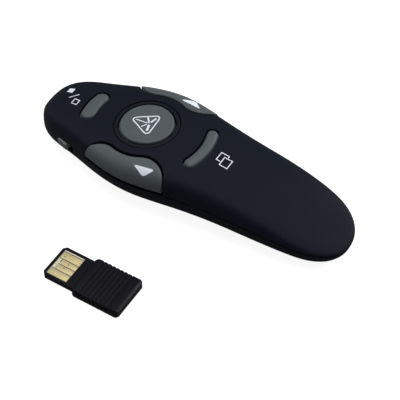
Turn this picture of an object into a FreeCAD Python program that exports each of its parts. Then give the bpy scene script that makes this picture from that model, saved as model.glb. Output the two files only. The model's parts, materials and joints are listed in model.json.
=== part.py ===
import FreeCAD, Part
import math
import os
from FreeCAD import Vector

# Wireless presentation clicker with its USB receiver, in millimetres.
# +X runs from the laser nose to the tail, +Z is up, and the side with the
# power slider is -Y. The origin is on the table, under the middle of the body.

# Body form
BODY_LENGTH = 110.9
BODY_HALF_WIDTH = 19.45
BODY_HEIGHT = 20.3
WALL = 1.6
REST_FLAT = 0.2
SEAM_REVEAL = 0.15
OVERRUN = 3.0
SINK = 0.3

# Section shapes: how far the flank stands up and the crown runs out, as shares
CROWN_SHARES = (0.766, 0.681)
BELLY_SHARES = (0.5, 0.49)

# Stations at even turns from nose to tail. Each row gives the half width as a
# share of the body's, then seam, crown and belly as shares of its height.
STATION_SHARES = (
    (0.0, 0.246, 0.246, 0.246),
    (0.314, 0.394, 0.638, 0.059),
    (0.555, 0.502, 0.781, 0.010),
    (0.707, 0.571, 0.857, 0.0),
    (0.895, 0.611, 0.931, 0.0),
    (1.0, 0.623, 0.993, 0.0),
    (0.905, 0.611, 0.983, 0.0),
    (0.807, 0.576, 0.906, 0.0),
    (0.766, 0.527, 0.791, 0.0),
    (0.712, 0.463, 0.628, 0.0),
    (0.596, 0.384, 0.463, 0.020),
    (0.365, 0.305, 0.350, 0.113),
    (0.0, 0.241, 0.241, 0.241),
)
FIRST_HOLLOW = 1
LAST_HOLLOW = 9

# Lip that locates the upper shell in the lower one
LIP_DEPTH = 1.2
LIP_CLEARANCE = 0.1
LIP_SHARE = 0.5

# Keys
KEY_STATION = 5
KEY_SETBACK = 2.9
KEY_GAP = 0.35
KEY_PROUD = 0.25
KEY_WALL = 1.6
KEY_TRAVEL = 0.5
KEY_EDGE = 0.25
STEM_RADIUS = 1.5
LASER_KEY_RADIUS = 8.8
LASER_KEY_DISH = 0.45
BEZEL_BORE_GAP = 0.45
BEZEL_RADIUS = 10.7
BEZEL_DEPTH = 1.8
COLLAR_WALL = 0.75
COLLAR_DEPTH = 2.5
FLANGE_REACH = 1.0
FLANGE_THICKNESS = 0.8
FLANGE_CLEARANCE = 0.15

BLANK_KEY_RADIUS = 20.1
BLANK_KEY_HALF_ANGLE = 10.8
BLANK_KEY_HALF_WIDTH = 2.6
BLANK_FLANGE_DEPTH = 2.4
WINDOW_KEY_RADIUS = 21.05
WINDOW_KEY_HALF_ANGLE = 19.4
WINDOW_KEY_HALF_WIDTH = 1.9
WINDOW_FLANGE_DEPTH = 2.3

WING_INNER_RADIUS = 13.65
WING_NOSE_REACH = 13.4
WING_NOSE_RADIUS = 6.9
WING_TAIL_REACH = 16.2
WING_TAIL_RADIUS = 7.35
WING_FOOT_GAP = 0.8
WING_FLANGE_RADIUS = 12.0
WING_FLANGE_DEPTH = 2.7
WING_FLANGE_HALF_ANGLE = 26.0
WING_STEM_Y = 13.0

# Main board and what stands on it
BOARD_RISE = 0.1
BOARD_THICKNESS = 0.8
BOARD_NOSE_MARGIN = 1.7
BOARD_TAIL_MARGIN = 1.15
BOARD_INSET = 3.1
SWITCH_SIDE = 5.2
SWITCH_HEIGHT = 1.4
PLUNGER_RADIUS = 1.4
PLUNGER_STAND = 0.6
PLUNGER_DEPTH = 0.6
SWITCH_BORE_DEPTH = 1.2
RUNNING_GAP = 0.06
CHIP_SIDE = 5.0
CHIP_THICKNESS = 0.9
CHIP_OFFSET = 11.05
RADIO_OFFSET = 10.85
CRYSTAL_LENGTH = 3.2
CRYSTAL_WIDTH = 2.5
CRYSTAL_HEIGHT = 0.8
CRYSTAL_Y = 5.2

# Case screws
SCREW_OFFSET = 11.0
SCREW_Y = 10.0
TAIL_SCREW_MARGIN = 20.65
SCREW_LENGTH = 8.0
SCREW_RADIUS = 1.05
SCREW_HEAD_RADIUS = 1.9
SCREW_HEAD_HEIGHT = 1.3
SCREW_CLEARANCE = 0.1
SCREW_COVER = 1.5
TAIL_SCREW_COVER = 1.1
BOSS_RADIUS = 2.4
PILLAR_RADIUS = 3.1
POCKET_GAP = 0.3
TAIL_PILLAR_DROP = 0.6
TAIL_PILLAR_GAP = 0.3

# Battery bay
CELL_RADIUS = 5.15
CELL_LENGTH = 44.5
CELL_NUB_RADIUS = 1.9
CELL_NUB_LENGTH = 1.1
CELL_OFFSET = 0.35
CELL_SPACE = 0.2
CELL_LIFT = 0.85
CONTACT_REACH = 1.3
CONTACT_THICKNESS = 0.4
CONTACT_WIDTH = 8.0
CONTACT_DROP = 3.2
CONTACT_RISE = 3.4
CONTACT_TAB_WIDTH = 2.0
CONTACT_DOME_RADIUS = 1.6
SPRING_FOOT_RADIUS = 3.4
SPRING_TIP_RADIUS = 2.0
BAY_WALL = 1.2
BAY_SIDE_SPACE = 0.55
BAY_RAIL_RISE = 4.0
COVER_NOSE_MARGIN = 0.6
COVER_TAIL_MARGIN = 1.1
COVER_SIDE_SPACE = 0.2
COVER_CORNER = 3.0
COVER_GAP = 0.3
COVER_THICKNESS = 1.3
COVER_REACH = 5.6
TAB_WIDTH = 4.0
TAB_REACH = 0.9
TAB_ROOT = 3.0
TAB_THICKNESS = 0.8
TAB_CLEARANCE = 0.15
GRIP_COUNT = 4
GRIP_PITCH = 1.8
GRIP_WIDTH = 0.8
GRIP_DEPTH = 0.35
GRIP_HALF_LENGTH = 4.5
GRIP_TAIL_MARGIN = 4.0

# Laser module in the nose
LASER_RISE = 0.5
BARREL_RADIUS = 3.2
BARREL_GAP = 1.35
BARREL_LENGTH = 12.0
LENS_RADIUS = 2.4
LENS_THICKNESS = 1.6
LENS_CROWN_RADIUS = 5.0
LENS_SETBACK = 0.8
BEAM_RADIUS = 1.8
DIODE_FLANGE_RADIUS = 2.8
DIODE_FLANGE_THICKNESS = 1.2
DIODE_CAN_RADIUS = 1.7
DIODE_CAN_LENGTH = 2.3
DRIVER_THICKNESS = 0.8
DRIVER_HALF_WIDTH = 3.0
DRIVER_HALF_HEIGHT = 3.0
LEAD_RADIUS = 0.35
LEAD_Y = 1.6
SADDLE_THICKNESS = 1.2
SADDLE_HALF_WIDTH = 4.6
SADDLE_OFFSET = 2.2
WINDOW_RADIUS = 2.4
WINDOW_SETBACK = 1.05
WINDOW_FLANGE_RADIUS = 2.8
WINDOW_FLANGE_THICKNESS = 0.7
OPTIC_GAP = 0.05

# Power slider, in its own frame: along the wall, inward, and up
SLIDER_STATION = 3
SLIDER_SETFORWARD = -0.45
SLIDER_TURN = -17.5
SLIDER_TRAVEL = 2.6
KNOB_LENGTH = 3.8
KNOB_HEIGHT = 2.4
KNOB_DROP = 1.65
KNOB_PROUD = 0.6
KNOB_GAP = 0.35
KNOB_RIBS = 5
KNOB_RIB_DEPTH = 0.3
SLIDER_PLATE_IN = 2.65
SLIDER_PLATE_THICKNESS = 0.7
SLIDER_PLATE_LAP = 0.1
SLIDER_PLATE_HEIGHT = 3.3
LEVER_WIDTH = 1.4
LEVER_HEIGHT = 1.2
LEVER_NOTCH = 0.5
POWER_SWITCH_IN = 4.3
POWER_SWITCH_DEPTH = 3.3
POWER_SWITCH_LENGTH = 8.8
POWER_SWITCH_HEIGHT = 3.2
LEVER_BITE = 0.8

# USB receiver
RECEIVER_X = -20.6
RECEIVER_Y = -49.25
RECEIVER_TURN = -1.0
TONGUE_LENGTH = 11.3
TONGUE_WIDTH = 12.3
TONGUE_THICKNESS = 2.0
TONGUE_Z = 0.4
TONGUE_RIM = 0.95
TONGUE_CORNER = 1.0
WELL_LENGTH = 7.4
WELL_DEPTH = 0.4
TONGUE_INSERT = 5.0
USB_BOARD_THICKNESS = 0.8
USB_BOARD_INSERT = 12.0
USB_FIT = 0.05
CONTACT_STRIP_WIDTH = 2.2
CONTACT_STRIP_THICKNESS = 0.12
OUTER_STRIP_LENGTH = 7.1
INNER_STRIP_LENGTH = 5.9
OUTER_STRIP_Y = 3.85
INNER_STRIP_Y = 1.3
STRIP_SETBACK = 0.1
HOUSING_LENGTH = 17.0
HOUSING_WIDTH = 14.8
HOUSING_HEIGHT = 3.2
HOUSING_CORNER = 1.4
HOUSING_EDGE = 0.45
HOUSING_POCKET_HEIGHT = 1.8
RIB_COUNT = 8
RIB_PITCH = 1.45
RIB_GROOVE = 0.6
RIB_DEPTH = 0.3
RIB_START = 2.5
USB_CHIP_LENGTH = 5.0
USB_CHIP_WIDTH = 5.0
USB_CHIP_HEIGHT = 0.6
USB_CHIP_BACK = 5.5

UP = Vector(0, 0, 1)
ALONG = Vector(1, 0, 0)
ACROSS = Vector(0, 1, 0)
UPPER = 1
LOWER = -1
NEAR = -1
FAR = 1



# Simple solids and outlines

def block(x0, x1, y0, y1, z0, z1):
    """Box between two corners."""
    return Part.makeBox(x1 - x0, y1 - y0, z1 - z0, Vector(x0, y0, z0))


def drum(radius, length, foot, axis=UP):
    """Cylinder from a foot point along an axis."""
    return Part.makeCylinder(radius, length, foot, axis)


def column(outline, low, high):
    """Upright prism over a closed plan outline drawn at zero height."""
    face = Part.Face(outline)
    prism = face.extrude(Vector(0, 0, high - low))
    prism.translate(Vector(0, 0, low))
    return prism


def on_circle(centre, radius, degrees):
    """Point on a plan circle, with the angle from +X."""
    turn = math.radians(degrees)
    return centre + Vector(radius * math.cos(turn), radius * math.sin(turn), 0)


def arc_through(centre, radius, start, end):
    """Arc edge between two angles of a plan circle, past their mean."""
    middle = (start + end) / 2
    points = [on_circle(centre, radius, turn) for turn in (start, middle, end)]
    return Part.Arc(*points).toShape()


def mirrored(shape):
    """Copy of a near-side shape on the far side."""
    return shape.mirror(Vector(0, 0, 0), ACROSS)


def rounded_rectangle(x0, x1, half_width, corner):
    """Plan outline of a rectangle about the X axis, with round corners."""
    plate = block(x0, x1, -half_width, half_width, 0, corner)
    uprights = [edge for edge in plate.Edges if is_upright(edge)]
    rounded = plate.makeFillet(corner, uprights)
    floor = min(rounded.Faces, key=lambda face: face.CenterOfMass.z)
    return floor.OuterWire


def is_upright(edge):
    """Whether a straight edge runs along Z."""
    ends = edge.Vertexes
    if len(ends) < len((UP, ALONG)):
        return False
    run = ends[0].Point - ends[1].Point
    return abs(run.x) < abs(run.z) / BODY_LENGTH and abs(run.y) < abs(run.z) / BODY_LENGTH


# Body form: lofts through the stations

def station(index, inset):
    """X, half width, seam, crown and belly heights at a station, moved in by an inset."""
    half_width, seam, crown, belly = STATION_SHARES[index]
    turn = math.pi * index / (len(STATION_SHARES) - 1)
    x = -(BODY_LENGTH / 2 - inset) * math.cos(turn)
    return (x, half_width * BODY_HALF_WIDTH - inset, seam * BODY_HEIGHT,
            crown * BODY_HEIGHT - inset, belly * BODY_HEIGHT - REST_FLAT + inset)


def height_at(x, column):
    """Height of the seam (1) or the crown (2) at x, read between the stations."""
    turn = math.acos(-x / (BODY_LENGTH / 2))
    place = turn / math.pi * (len(STATION_SHARES) - 1)
    index = int(place)
    below, above = STATION_SHARES[index][column], STATION_SHARES[index + 1][column]
    return (below + (above - below) * (place - index)) * BODY_HEIGHT


def seam_at(x):
    """Seam height at x."""
    return height_at(x, 1)


def crown_at(x):
    """Crown height at x."""
    return height_at(x, 2)


def half_section(index, side, inset, skirt):
    """Closed half section at a station: a full curve over a flat or skirted foot."""
    x, half_width, seam, crown, belly = station(index, inset)
    x = station(index, 0)[0]
    top = crown if side == UPPER else belly
    flank, run = CROWN_SHARES if side == UPPER else BELLY_SHARES
    rise = top - seam
    pole = rise / (1 - (1 - flank) / 16)
    foot = seam - side * skirt
    poles = [Vector(x, half_width, seam), Vector(x, half_width, seam + flank * pole),
             Vector(x, run * half_width, seam + pole), Vector(x, -run * half_width, seam + pole),
             Vector(x, -half_width, seam + flank * pole), Vector(x, -half_width, seam)]
    curve = Part.BSplineCurve()
    curve.buildFromPolesMultsKnots(poles, (4, 1, 1, 4), (0, 1, 2, 3), False, 3)
    edges = [curve.toShape()]
    low_near, low_far = Vector(x, -half_width, foot), Vector(x, half_width, foot)
    if skirt != 0:
        edges.append(Part.makeLine(poles[-1], low_near))
    edges.append(Part.makeLine(low_near, low_far))
    if skirt != 0:
        edges.append(Part.makeLine(low_far, poles[0]))
    return Part.Wire(edges)


def body_half(side, raise_by=0, drop=0):
    """Upper or lower half of the body, solid, grown outwards by raise_by."""
    tips = [station(index, -raise_by) for index in (0, len(STATION_SHARES) - 1)]
    nose, tail = [Part.Vertex(Vector(tip[0], 0, tip[2])) for tip in tips]
    inner = range(1, len(STATION_SHARES) - 1)
    wires = [half_section(index, side, -raise_by, 0) for index in inner]
    half = Part.makeLoft([nose] + wires + [tail], True, False)
    if drop:
        half.translate(Vector(0, 0, -drop))
    return half


def hollow(side, inset, skirt):
    """Space inside one half of the body, from the nose wall to the tail wall."""
    stations = range(FIRST_HOLLOW, LAST_HOLLOW + 1)
    return Part.makeLoft([half_section(index, side, inset, skirt) for index in stations],
                         True, False)


def seam_band(inset, low, high):
    """Flat-topped band that follows the seam, from low to high about it."""
    wires = []
    for index in range(FIRST_HOLLOW, LAST_HOLLOW + 1):
        x, half_width, seam, crown, belly = station(index, inset)
        x = station(index, 0)[0]
        corners = [Vector(x, half_width, seam + low), Vector(x, half_width, seam + high),
                   Vector(x, -half_width, seam + high), Vector(x, -half_width, seam + low)]
        wires.append(Part.makePolygon(corners + corners[:1]))
    return Part.makeLoft(wires, True, False)


# Places that follow from the form and the sizes above

KEY_X = station(KEY_STATION, 0)[0] - KEY_SETBACK
BLANK_X = KEY_X - BLANK_KEY_RADIUS
WINDOW_X = KEY_X + WINDOW_KEY_RADIUS
BEZEL_SEAT_Z = crown_at(KEY_X) - BEZEL_DEPTH
COLLAR_FOOT_Z = crown_at(KEY_X) - COLLAR_DEPTH
WING_FLANGE_TOP = crown_at(KEY_X) - WING_FLANGE_DEPTH
BLANK_FLANGE_TOP = crown_at(BLANK_X) - BLANK_FLANGE_DEPTH
WINDOW_FLANGE_TOP = crown_at(WINDOW_X) - WINDOW_FLANGE_DEPTH

NOSE_WALL_X = station(FIRST_HOLLOW, 0)[0]
LASER_Z = station(FIRST_HOLLOW, 0)[2] + LASER_RISE
WINDOW_FACE_X = WINDOW_SETBACK - BODY_LENGTH / 2
BARREL_NOSE_X = NOSE_WALL_X + BARREL_GAP
LEAD_X = BARREL_NOSE_X + BARREL_LENGTH + DRIVER_THICKNESS / 2

BOARD_UNDERSIDE = seam_at(KEY_X) + BOARD_RISE
BOARD_TOP = BOARD_UNDERSIDE + BOARD_THICKNESS
BOARD_NOSE_X = min(BLANK_X - SWITCH_SIDE / 2, LEAD_X) - BOARD_NOSE_MARGIN
BOARD_TAIL_X = WINDOW_X + SWITCH_SIDE / 2 + BOARD_TAIL_MARGIN
SWITCH_TOP = BOARD_TOP + SWITCH_HEIGHT
PLUNGER_TOP = SWITCH_TOP + PLUNGER_STAND
CHIP_X = KEY_X - CHIP_OFFSET
RADIO_X = KEY_X + RADIO_OFFSET

SCREW_X = KEY_X - SCREW_OFFSET
SCREW_TIP_Z = crown_at(SCREW_X) - WALL - SCREW_COVER
TAIL_SCREW_X = BODY_LENGTH / 2 - TAIL_SCREW_MARGIN
TAIL_SCREW_TIP_Z = crown_at(TAIL_SCREW_X) - WALL - TAIL_SCREW_COVER
TAIL_PILLAR_TOP = seam_at(TAIL_SCREW_X) - TAIL_PILLAR_DROP
TAIL_BOSS_FOOT = TAIL_PILLAR_TOP + TAIL_PILLAR_GAP

CELL_NOSE_X = KEY_X - CELL_OFFSET
CELL_Y = CELL_RADIUS + CELL_SPACE / 2
CELL_Z = WALL - REST_FLAT + CELL_LIFT + CELL_RADIUS
CONTACT_LOW_Z = CELL_Z - CONTACT_DROP
CONTACT_HIGH_Z = CELL_Z + CONTACT_RISE
BAY_HALF_WIDTH = CELL_Y + CELL_RADIUS + BAY_SIDE_SPACE
BAY_RAIL_TOP = CELL_Z + BAY_RAIL_RISE
COVER_NOSE_X = CELL_NOSE_X - COVER_NOSE_MARGIN
COVER_TAIL_X = CELL_NOSE_X + CELL_LENGTH + COVER_TAIL_MARGIN
COVER_HALF_WIDTH = CELL_Y + CELL_RADIUS + COVER_SIDE_SPACE

SLIDER_X = station(SLIDER_STATION, 0)[0] + SLIDER_SETFORWARD
SLIDER_WALL_Y = -station(SLIDER_STATION, 0)[1]
KNOB_Z = station(SLIDER_STATION, 0)[2] - KNOB_DROP


# Key outlines in plan

def bar_outline(radius, half_angle, half_width, middle, grow):
    """Bowed bar about the laser key, with round ends; middle is its angle from +X."""
    centre = Vector(KEY_X, 0, 0)
    half = half_width + grow
    first, last = middle - half_angle, middle + half_angle
    first_cap, last_cap = (on_circle(centre, radius, turn) for turn in (first, last))
    half_turn = 180
    edges = [arc_through(centre, radius + half, first, last),
             arc_through(last_cap, half, last, last + half_turn),
             arc_through(centre, radius - half, last, first),
             arc_through(first_cap, half, first + half_turn, first + 2 * half_turn)]
    return Part.Wire(edges)


def wing_outline(grow):
    """Near-side wing: round the laser key, out to the flank at both ends."""
    centre = Vector(KEY_X, 0, 0)
    inner = WING_INNER_RADIUS - grow
    outer_y = -(BODY_HALF_WIDTH + OVERRUN)
    nose_in = WING_NOSE_REACH - WING_NOSE_RADIUS
    tail_in = WING_TAIL_REACH - WING_TAIL_RADIUS
    nose_out = -math.sqrt((WING_INNER_RADIUS + WING_NOSE_RADIUS) ** 2 - nose_in ** 2)
    tail_out = -math.sqrt((WING_INNER_RADIUS + WING_TAIL_RADIUS) ** 2 - tail_in ** 2)
    nose_centre = centre + Vector(-nose_in, nose_out, 0)
    tail_centre = centre + Vector(tail_in, tail_out, 0)
    nose_turn = math.degrees(math.atan2(nose_out, -nose_in))
    tail_turn = math.degrees(math.atan2(tail_out, tail_in))
    nose_arc = WING_NOSE_RADIUS + grow
    tail_arc = WING_TAIL_RADIUS + grow
    half_turn = 180
    nose_side = on_circle(nose_centre, nose_arc, half_turn)
    tail_side = on_circle(tail_centre, tail_arc, 0)
    nose_corner = Vector(nose_side.x, outer_y, 0)
    tail_corner = Vector(tail_side.x, outer_y, 0)
    edges = [Part.makeLine(nose_corner, nose_side),
             arc_through(nose_centre, nose_arc, half_turn, nose_turn + half_turn),
             arc_through(centre, inner, nose_turn, tail_turn),
             arc_through(tail_centre, tail_arc, tail_turn + half_turn, 0),
             Part.makeLine(tail_side, tail_corner),
             Part.makeLine(tail_corner, nose_corner)]
    return Part.Wire(edges)


def blank_outline(grow):
    """Bar key on the nose side of the laser key."""
    half_turn = 180
    return bar_outline(BLANK_KEY_RADIUS, BLANK_KEY_HALF_ANGLE, BLANK_KEY_HALF_WIDTH,
                       half_turn, grow)


def window_outline(grow):
    """Bar key on the tail side of the laser key."""
    return bar_outline(WINDOW_KEY_RADIUS, WINDOW_KEY_HALF_ANGLE, WINDOW_KEY_HALF_WIDTH,
                       0, grow)


# Shells

def screw_places():
    """X, Y and tip height of each case screw."""
    return ((SCREW_X, -SCREW_Y, SCREW_TIP_Z), (SCREW_X, SCREW_Y, SCREW_TIP_Z),
            (TAIL_SCREW_X, 0, TAIL_SCREW_TIP_Z))


def slider_frame(shape):
    """Move a shape from the slider's own frame to its place in the wall."""
    placed = shape.copy()
    placed.rotate(Vector(0, 0, 0), UP, SLIDER_TURN)
    placed.translate(Vector(SLIDER_X, SLIDER_WALL_Y, 0))
    return placed


def slider_slot():
    """Opening for the power slider, up to the seam and through the wall."""
    half_length = (KNOB_LENGTH + SLIDER_TRAVEL) / 2 + KNOB_GAP
    low = KNOB_Z - KNOB_HEIGHT / 2 - KNOB_GAP
    return slider_frame(block(-half_length, half_length, -OVERRUN, SLIDER_PLATE_IN - KNOB_GAP,
                              low, BODY_HEIGHT))


def nose_bore(radius):
    """Round way out through the nose wall for the laser window."""
    return drum(radius, OVERRUN * 2, Vector(WINDOW_FACE_X - OVERRUN, 0, LASER_Z), ALONG)


def upper_shell():
    """Upper housing: domed skin, key openings, collar, lip and screw bosses."""
    lip = seam_band(WALL * LIP_SHARE + LIP_CLEARANCE, -LIP_DEPTH, SINK).cut(slider_slot())
    shell = body_half(UPPER).fuse(lip).cut(hollow(UPPER, WALL, OVERRUN))
    room = hollow(UPPER, WALL - SINK, OVERRUN)
    features = [drum(BEZEL_RADIUS + COLLAR_WALL, BODY_HEIGHT, Vector(KEY_X, 0, COLLAR_FOOT_Z))]
    for x, y, tip in screw_places():
        foot = TAIL_BOSS_FOOT if x == TAIL_SCREW_X else BOARD_TOP
        features.append(drum(BOSS_RADIUS, BODY_HEIGHT, Vector(x, y, foot)))
    for feature in features:
        shell = shell.fuse(feature.common(room))
    key_bore = LASER_KEY_RADIUS + BEZEL_BORE_GAP
    tools = [drum(key_bore, BODY_HEIGHT, Vector(KEY_X, 0, COLLAR_FOOT_Z - SINK)),
             drum(BEZEL_RADIUS + OPTIC_GAP, BODY_HEIGHT, Vector(KEY_X, 0, BEZEL_SEAT_Z)),
             column(blank_outline(KEY_GAP), BOARD_TOP, BODY_HEIGHT + OVERRUN),
             column(window_outline(KEY_GAP), BOARD_TOP, BODY_HEIGHT + OVERRUN),
             nose_bore(WINDOW_RADIUS + OPTIC_GAP)]
    wing = column(wing_outline(KEY_GAP), BAY_RAIL_TOP - OVERRUN, BODY_HEIGHT + OVERRUN)
    tools += [wing, mirrored(wing)]
    for x, y, tip in screw_places():
        tools.append(drum(SCREW_RADIUS + OPTIC_GAP, SCREW_LENGTH,
                          Vector(x, y, tip - SCREW_LENGTH + SCREW_CLEARANCE)))
    for tool in tools:
        shell = shell.cut(tool)
    return shell


def saddle(x):
    """Rib with a round seat for the laser barrel."""
    rib = block(x - SADDLE_THICKNESS / 2, x + SADDLE_THICKNESS / 2,
                -SADDLE_HALF_WIDTH, SADDLE_HALF_WIDTH, -OVERRUN, LASER_Z)
    return rib.cut(barrel_envelope(OPTIC_GAP))


def bay_walls():
    """Ribs round the battery bay; the side ones carry the board."""
    nose = CELL_NOSE_X - CONTACT_REACH - CONTACT_THICKNESS
    tail = CELL_NOSE_X + CELL_LENGTH + CONTACT_REACH + CONTACT_THICKNESS
    outer = BAY_HALF_WIDTH + BAY_WALL
    walls = [block(nose - BAY_WALL, nose, -outer, outer, 0, BOARD_UNDERSIDE - SINK),
             block(tail, tail + BAY_WALL, -outer, outer, 0, BAY_RAIL_TOP)]
    for side in (NEAR, FAR):
        low, high = sorted((side * BAY_HALF_WIDTH, side * outer))
        walls.append(block(nose - BAY_WALL, BOARD_TAIL_X, low, high, 0, BOARD_UNDERSIDE))
        walls.append(block(BOARD_TAIL_X, tail + BAY_WALL, low, high, 0, BAY_RAIL_TOP))
    return walls


def cover_outline(grow):
    """Plan of the battery opening, or of its cover where grow is negative."""
    return rounded_rectangle(COVER_NOSE_X - grow, COVER_TAIL_X + grow,
                             COVER_HALF_WIDTH + grow, COVER_CORNER + grow)


def lower_shell():
    """Lower housing: belly, battery opening, ribs, pillars and slider slot."""
    shell = body_half(LOWER, 0, SEAM_REVEAL).cut(hollow(LOWER, WALL, OVERRUN))
    rebate = seam_band(WALL * LIP_SHARE, -LIP_DEPTH - LIP_CLEARANCE - SEAM_REVEAL, OVERRUN)
    shell = shell.cut(rebate)
    room = hollow(LOWER, WALL - SINK, OVERRUN)
    features = bay_walls()
    for x, y, tip in screw_places():
        top = TAIL_PILLAR_TOP if x == TAIL_SCREW_X else BOARD_UNDERSIDE
        features.append(drum(PILLAR_RADIUS, top, Vector(x, y, 0)))
    for offset in (SADDLE_OFFSET, BARREL_LENGTH - SADDLE_OFFSET):
        features.append(saddle(BARREL_NOSE_X + offset))
    for feature in features:
        shell = shell.fuse(feature.common(room))
    tools = [column(cover_outline(0), -OVERRUN, COVER_REACH), slider_slot(),
             nose_bore(WINDOW_RADIUS + OPTIC_GAP),
             block(-BODY_LENGTH, BODY_LENGTH, -BODY_LENGTH, BODY_LENGTH, -OVERRUN, 0)]
    for x, y, tip in screw_places():
        seat = tip - SCREW_LENGTH
        tools.append(drum(SCREW_RADIUS + SCREW_CLEARANCE, BODY_HEIGHT, Vector(x, y, seat - SINK)))
        tools.append(drum(SCREW_HEAD_RADIUS + POCKET_GAP, seat + OVERRUN,
                          Vector(x, y, -OVERRUN)))
    for tool in tools:
        shell = shell.cut(tool)
    return shell


def battery_cover():
    """Belly panel over the cells, with a nose tab and thumb grooves."""
    skin = body_half(LOWER, 0, SEAM_REVEAL).cut(hollow(LOWER, COVER_THICKNESS, OVERRUN))
    cover = skin.common(column(cover_outline(-COVER_GAP), -OVERRUN, COVER_REACH))
    tab_low = WALL + TAB_CLEARANCE - REST_FLAT
    tab = block(COVER_NOSE_X - TAB_REACH, COVER_NOSE_X + TAB_ROOT, -TAB_WIDTH / 2, TAB_WIDTH / 2,
                tab_low, tab_low + TAB_THICKNESS)
    heel = block(COVER_NOSE_X + COVER_GAP, COVER_NOSE_X + TAB_ROOT, -TAB_WIDTH / 2,
                 TAB_WIDTH / 2, TAB_CLEARANCE + SINK, tab_low + TAB_THICKNESS)
    cover = cover.fuse(tab).fuse(heel)
    floor = block(-BODY_LENGTH, BODY_LENGTH, -BODY_LENGTH, BODY_LENGTH, -OVERRUN, 0)
    cover = cover.cut(floor)
    for count in range(GRIP_COUNT):
        x = COVER_TAIL_X - GRIP_TAIL_MARGIN - count * GRIP_PITCH
        cover = cover.cut(block(x - GRIP_WIDTH, x, -GRIP_HALF_LENGTH, GRIP_HALF_LENGTH,
                                -OVERRUN, GRIP_DEPTH))
    return cover


def case_screws():
    """Three self-tapping screws as plain shanks under their heads."""
    screws = []
    for x, y, tip in screw_places():
        seat = tip - SCREW_LENGTH
        shank = drum(SCREW_RADIUS, SCREW_LENGTH, Vector(x, y, seat))
        head = drum(SCREW_HEAD_RADIUS, SCREW_HEAD_HEIGHT, Vector(x, y, seat - SCREW_HEAD_HEIGHT))
        screws.append(shank.fuse(head))
    return Part.makeCompound(screws)


# Keys

def key_blank(outline, low):
    """Key cap that follows the crown, a little proud of it."""
    return column(outline, low, BODY_HEIGHT + OVERRUN).common(body_half(UPPER, KEY_PROUD))


def stem(x, y, top):
    """Round post that stands on a switch plunger."""
    return drum(STEM_RADIUS, top - PLUNGER_TOP, Vector(x, y, PLUNGER_TOP))


def laser_key():
    """Round thumb key with a shallow dish, a retaining flange and a stem."""
    flange_top = COLLAR_FOOT_Z - FLANGE_CLEARANCE
    low = flange_top - FLANGE_THICKNESS
    outline = Part.Wire(Part.makeCircle(LASER_KEY_RADIUS, Vector(KEY_X, 0, 0)))
    cap = key_blank(outline, low)
    dish_radius = LASER_KEY_RADIUS ** 2 / (2 * LASER_KEY_DISH)
    foot = crown_at(KEY_X) + KEY_PROUD + KEY_EDGE - LASER_KEY_DISH
    dish = Part.makeSphere(dish_radius, Vector(KEY_X, 0, foot + dish_radius))
    flange = drum(LASER_KEY_RADIUS + FLANGE_REACH, FLANGE_THICKNESS, Vector(KEY_X, 0, low))
    inside = drum(LASER_KEY_RADIUS - KEY_WALL, BEZEL_SEAT_Z - low, Vector(KEY_X, 0, low))
    key = cap.cut(dish).fuse(flange).cut(inside)
    return key.fuse(stem(KEY_X, 0, BEZEL_SEAT_Z + SINK))


def bezel_ring():
    """Trim ring round the laser key, seated on the collar."""
    ring = Part.Wire(Part.makeCircle(BEZEL_RADIUS, Vector(KEY_X, 0, 0)))
    blank = column(ring, BEZEL_SEAT_Z, BODY_HEIGHT + OVERRUN).common(body_half(UPPER))
    bore = drum(LASER_KEY_RADIUS + BEZEL_BORE_GAP, BODY_HEIGHT, Vector(KEY_X, 0, 0))
    return blank.cut(bore)


def bar_key(outline, flange_top, middle_x):
    """Bowed bar key with a hollow underside, end flanges and a stem."""
    low = flange_top - FLANGE_THICKNESS
    cap = key_blank(outline(0), low)
    inside = column(outline(-KEY_WALL / 2), low, BODY_HEIGHT).common(
        hollow(UPPER, KEY_WALL, OVERRUN))
    flange = column(outline(KEY_GAP + FLANGE_REACH / 2), low, flange_top)
    relief = block(middle_x - SWITCH_SIDE, middle_x + SWITCH_SIDE, -SWITCH_SIDE / 2 - SINK,
                   SWITCH_SIDE / 2 + SINK, BOARD_TOP, SWITCH_TOP + KEY_TRAVEL + FLANGE_CLEARANCE)
    key = cap.cut(inside).fuse(flange.cut(inside)).cut(relief)
    return key.fuse(stem(middle_x, 0, crown_at(middle_x) - KEY_WALL + SINK))


def blank_key():
    """Bar key that blanks the screen."""
    return bar_key(blank_outline, BLANK_FLANGE_TOP, BLANK_X)


def window_key():
    """Bar key that switches windows."""
    return bar_key(window_outline, WINDOW_FLANGE_TOP, WINDOW_X)


def wing_key():
    """Near-side page key: part of the flank, with a flange under the spine."""
    low = WING_FLANGE_TOP - FLANGE_THICKNESS
    cap = key_blank(wing_outline(0), BOARD_UNDERSIDE - OVERRUN)
    cap = cap.cut(hollow(UPPER, KEY_WALL, OVERRUN + OVERRUN))
    cap = cap.cut(seam_band(-OVERRUN, -OVERRUN - OVERRUN, WING_FOOT_GAP))
    centre = Vector(KEY_X, 0, 0)
    quarter = 90
    first, last = -quarter - WING_FLANGE_HALF_ANGLE, -quarter + WING_FLANGE_HALF_ANGLE
    outer = BODY_HALF_WIDTH
    edges = [arc_through(centre, WING_FLANGE_RADIUS, first, last),
             Part.makeLine(on_circle(centre, WING_FLANGE_RADIUS, last),
                           on_circle(centre, outer, last)),
             arc_through(centre, outer, last, first),
             Part.makeLine(on_circle(centre, outer, first),
                           on_circle(centre, WING_FLANGE_RADIUS, first))]
    flange = column(Part.Wire(edges), low, WING_FLANGE_TOP)
    flange = flange.common(hollow(UPPER, WALL - SINK, OVERRUN))
    key = cap.fuse(flange)
    return key.fuse(stem(KEY_X, -WING_STEM_Y, WING_FLANGE_TOP - SINK))


# Electronics

def key_places():
    """X and Y of each key's switch by key name."""
    return {"laser": (KEY_X, 0), "next": (KEY_X, -WING_STEM_Y), "previous": (KEY_X, WING_STEM_Y),
            "blank": (BLANK_X, 0), "window": (WINDOW_X, 0)}


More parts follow.
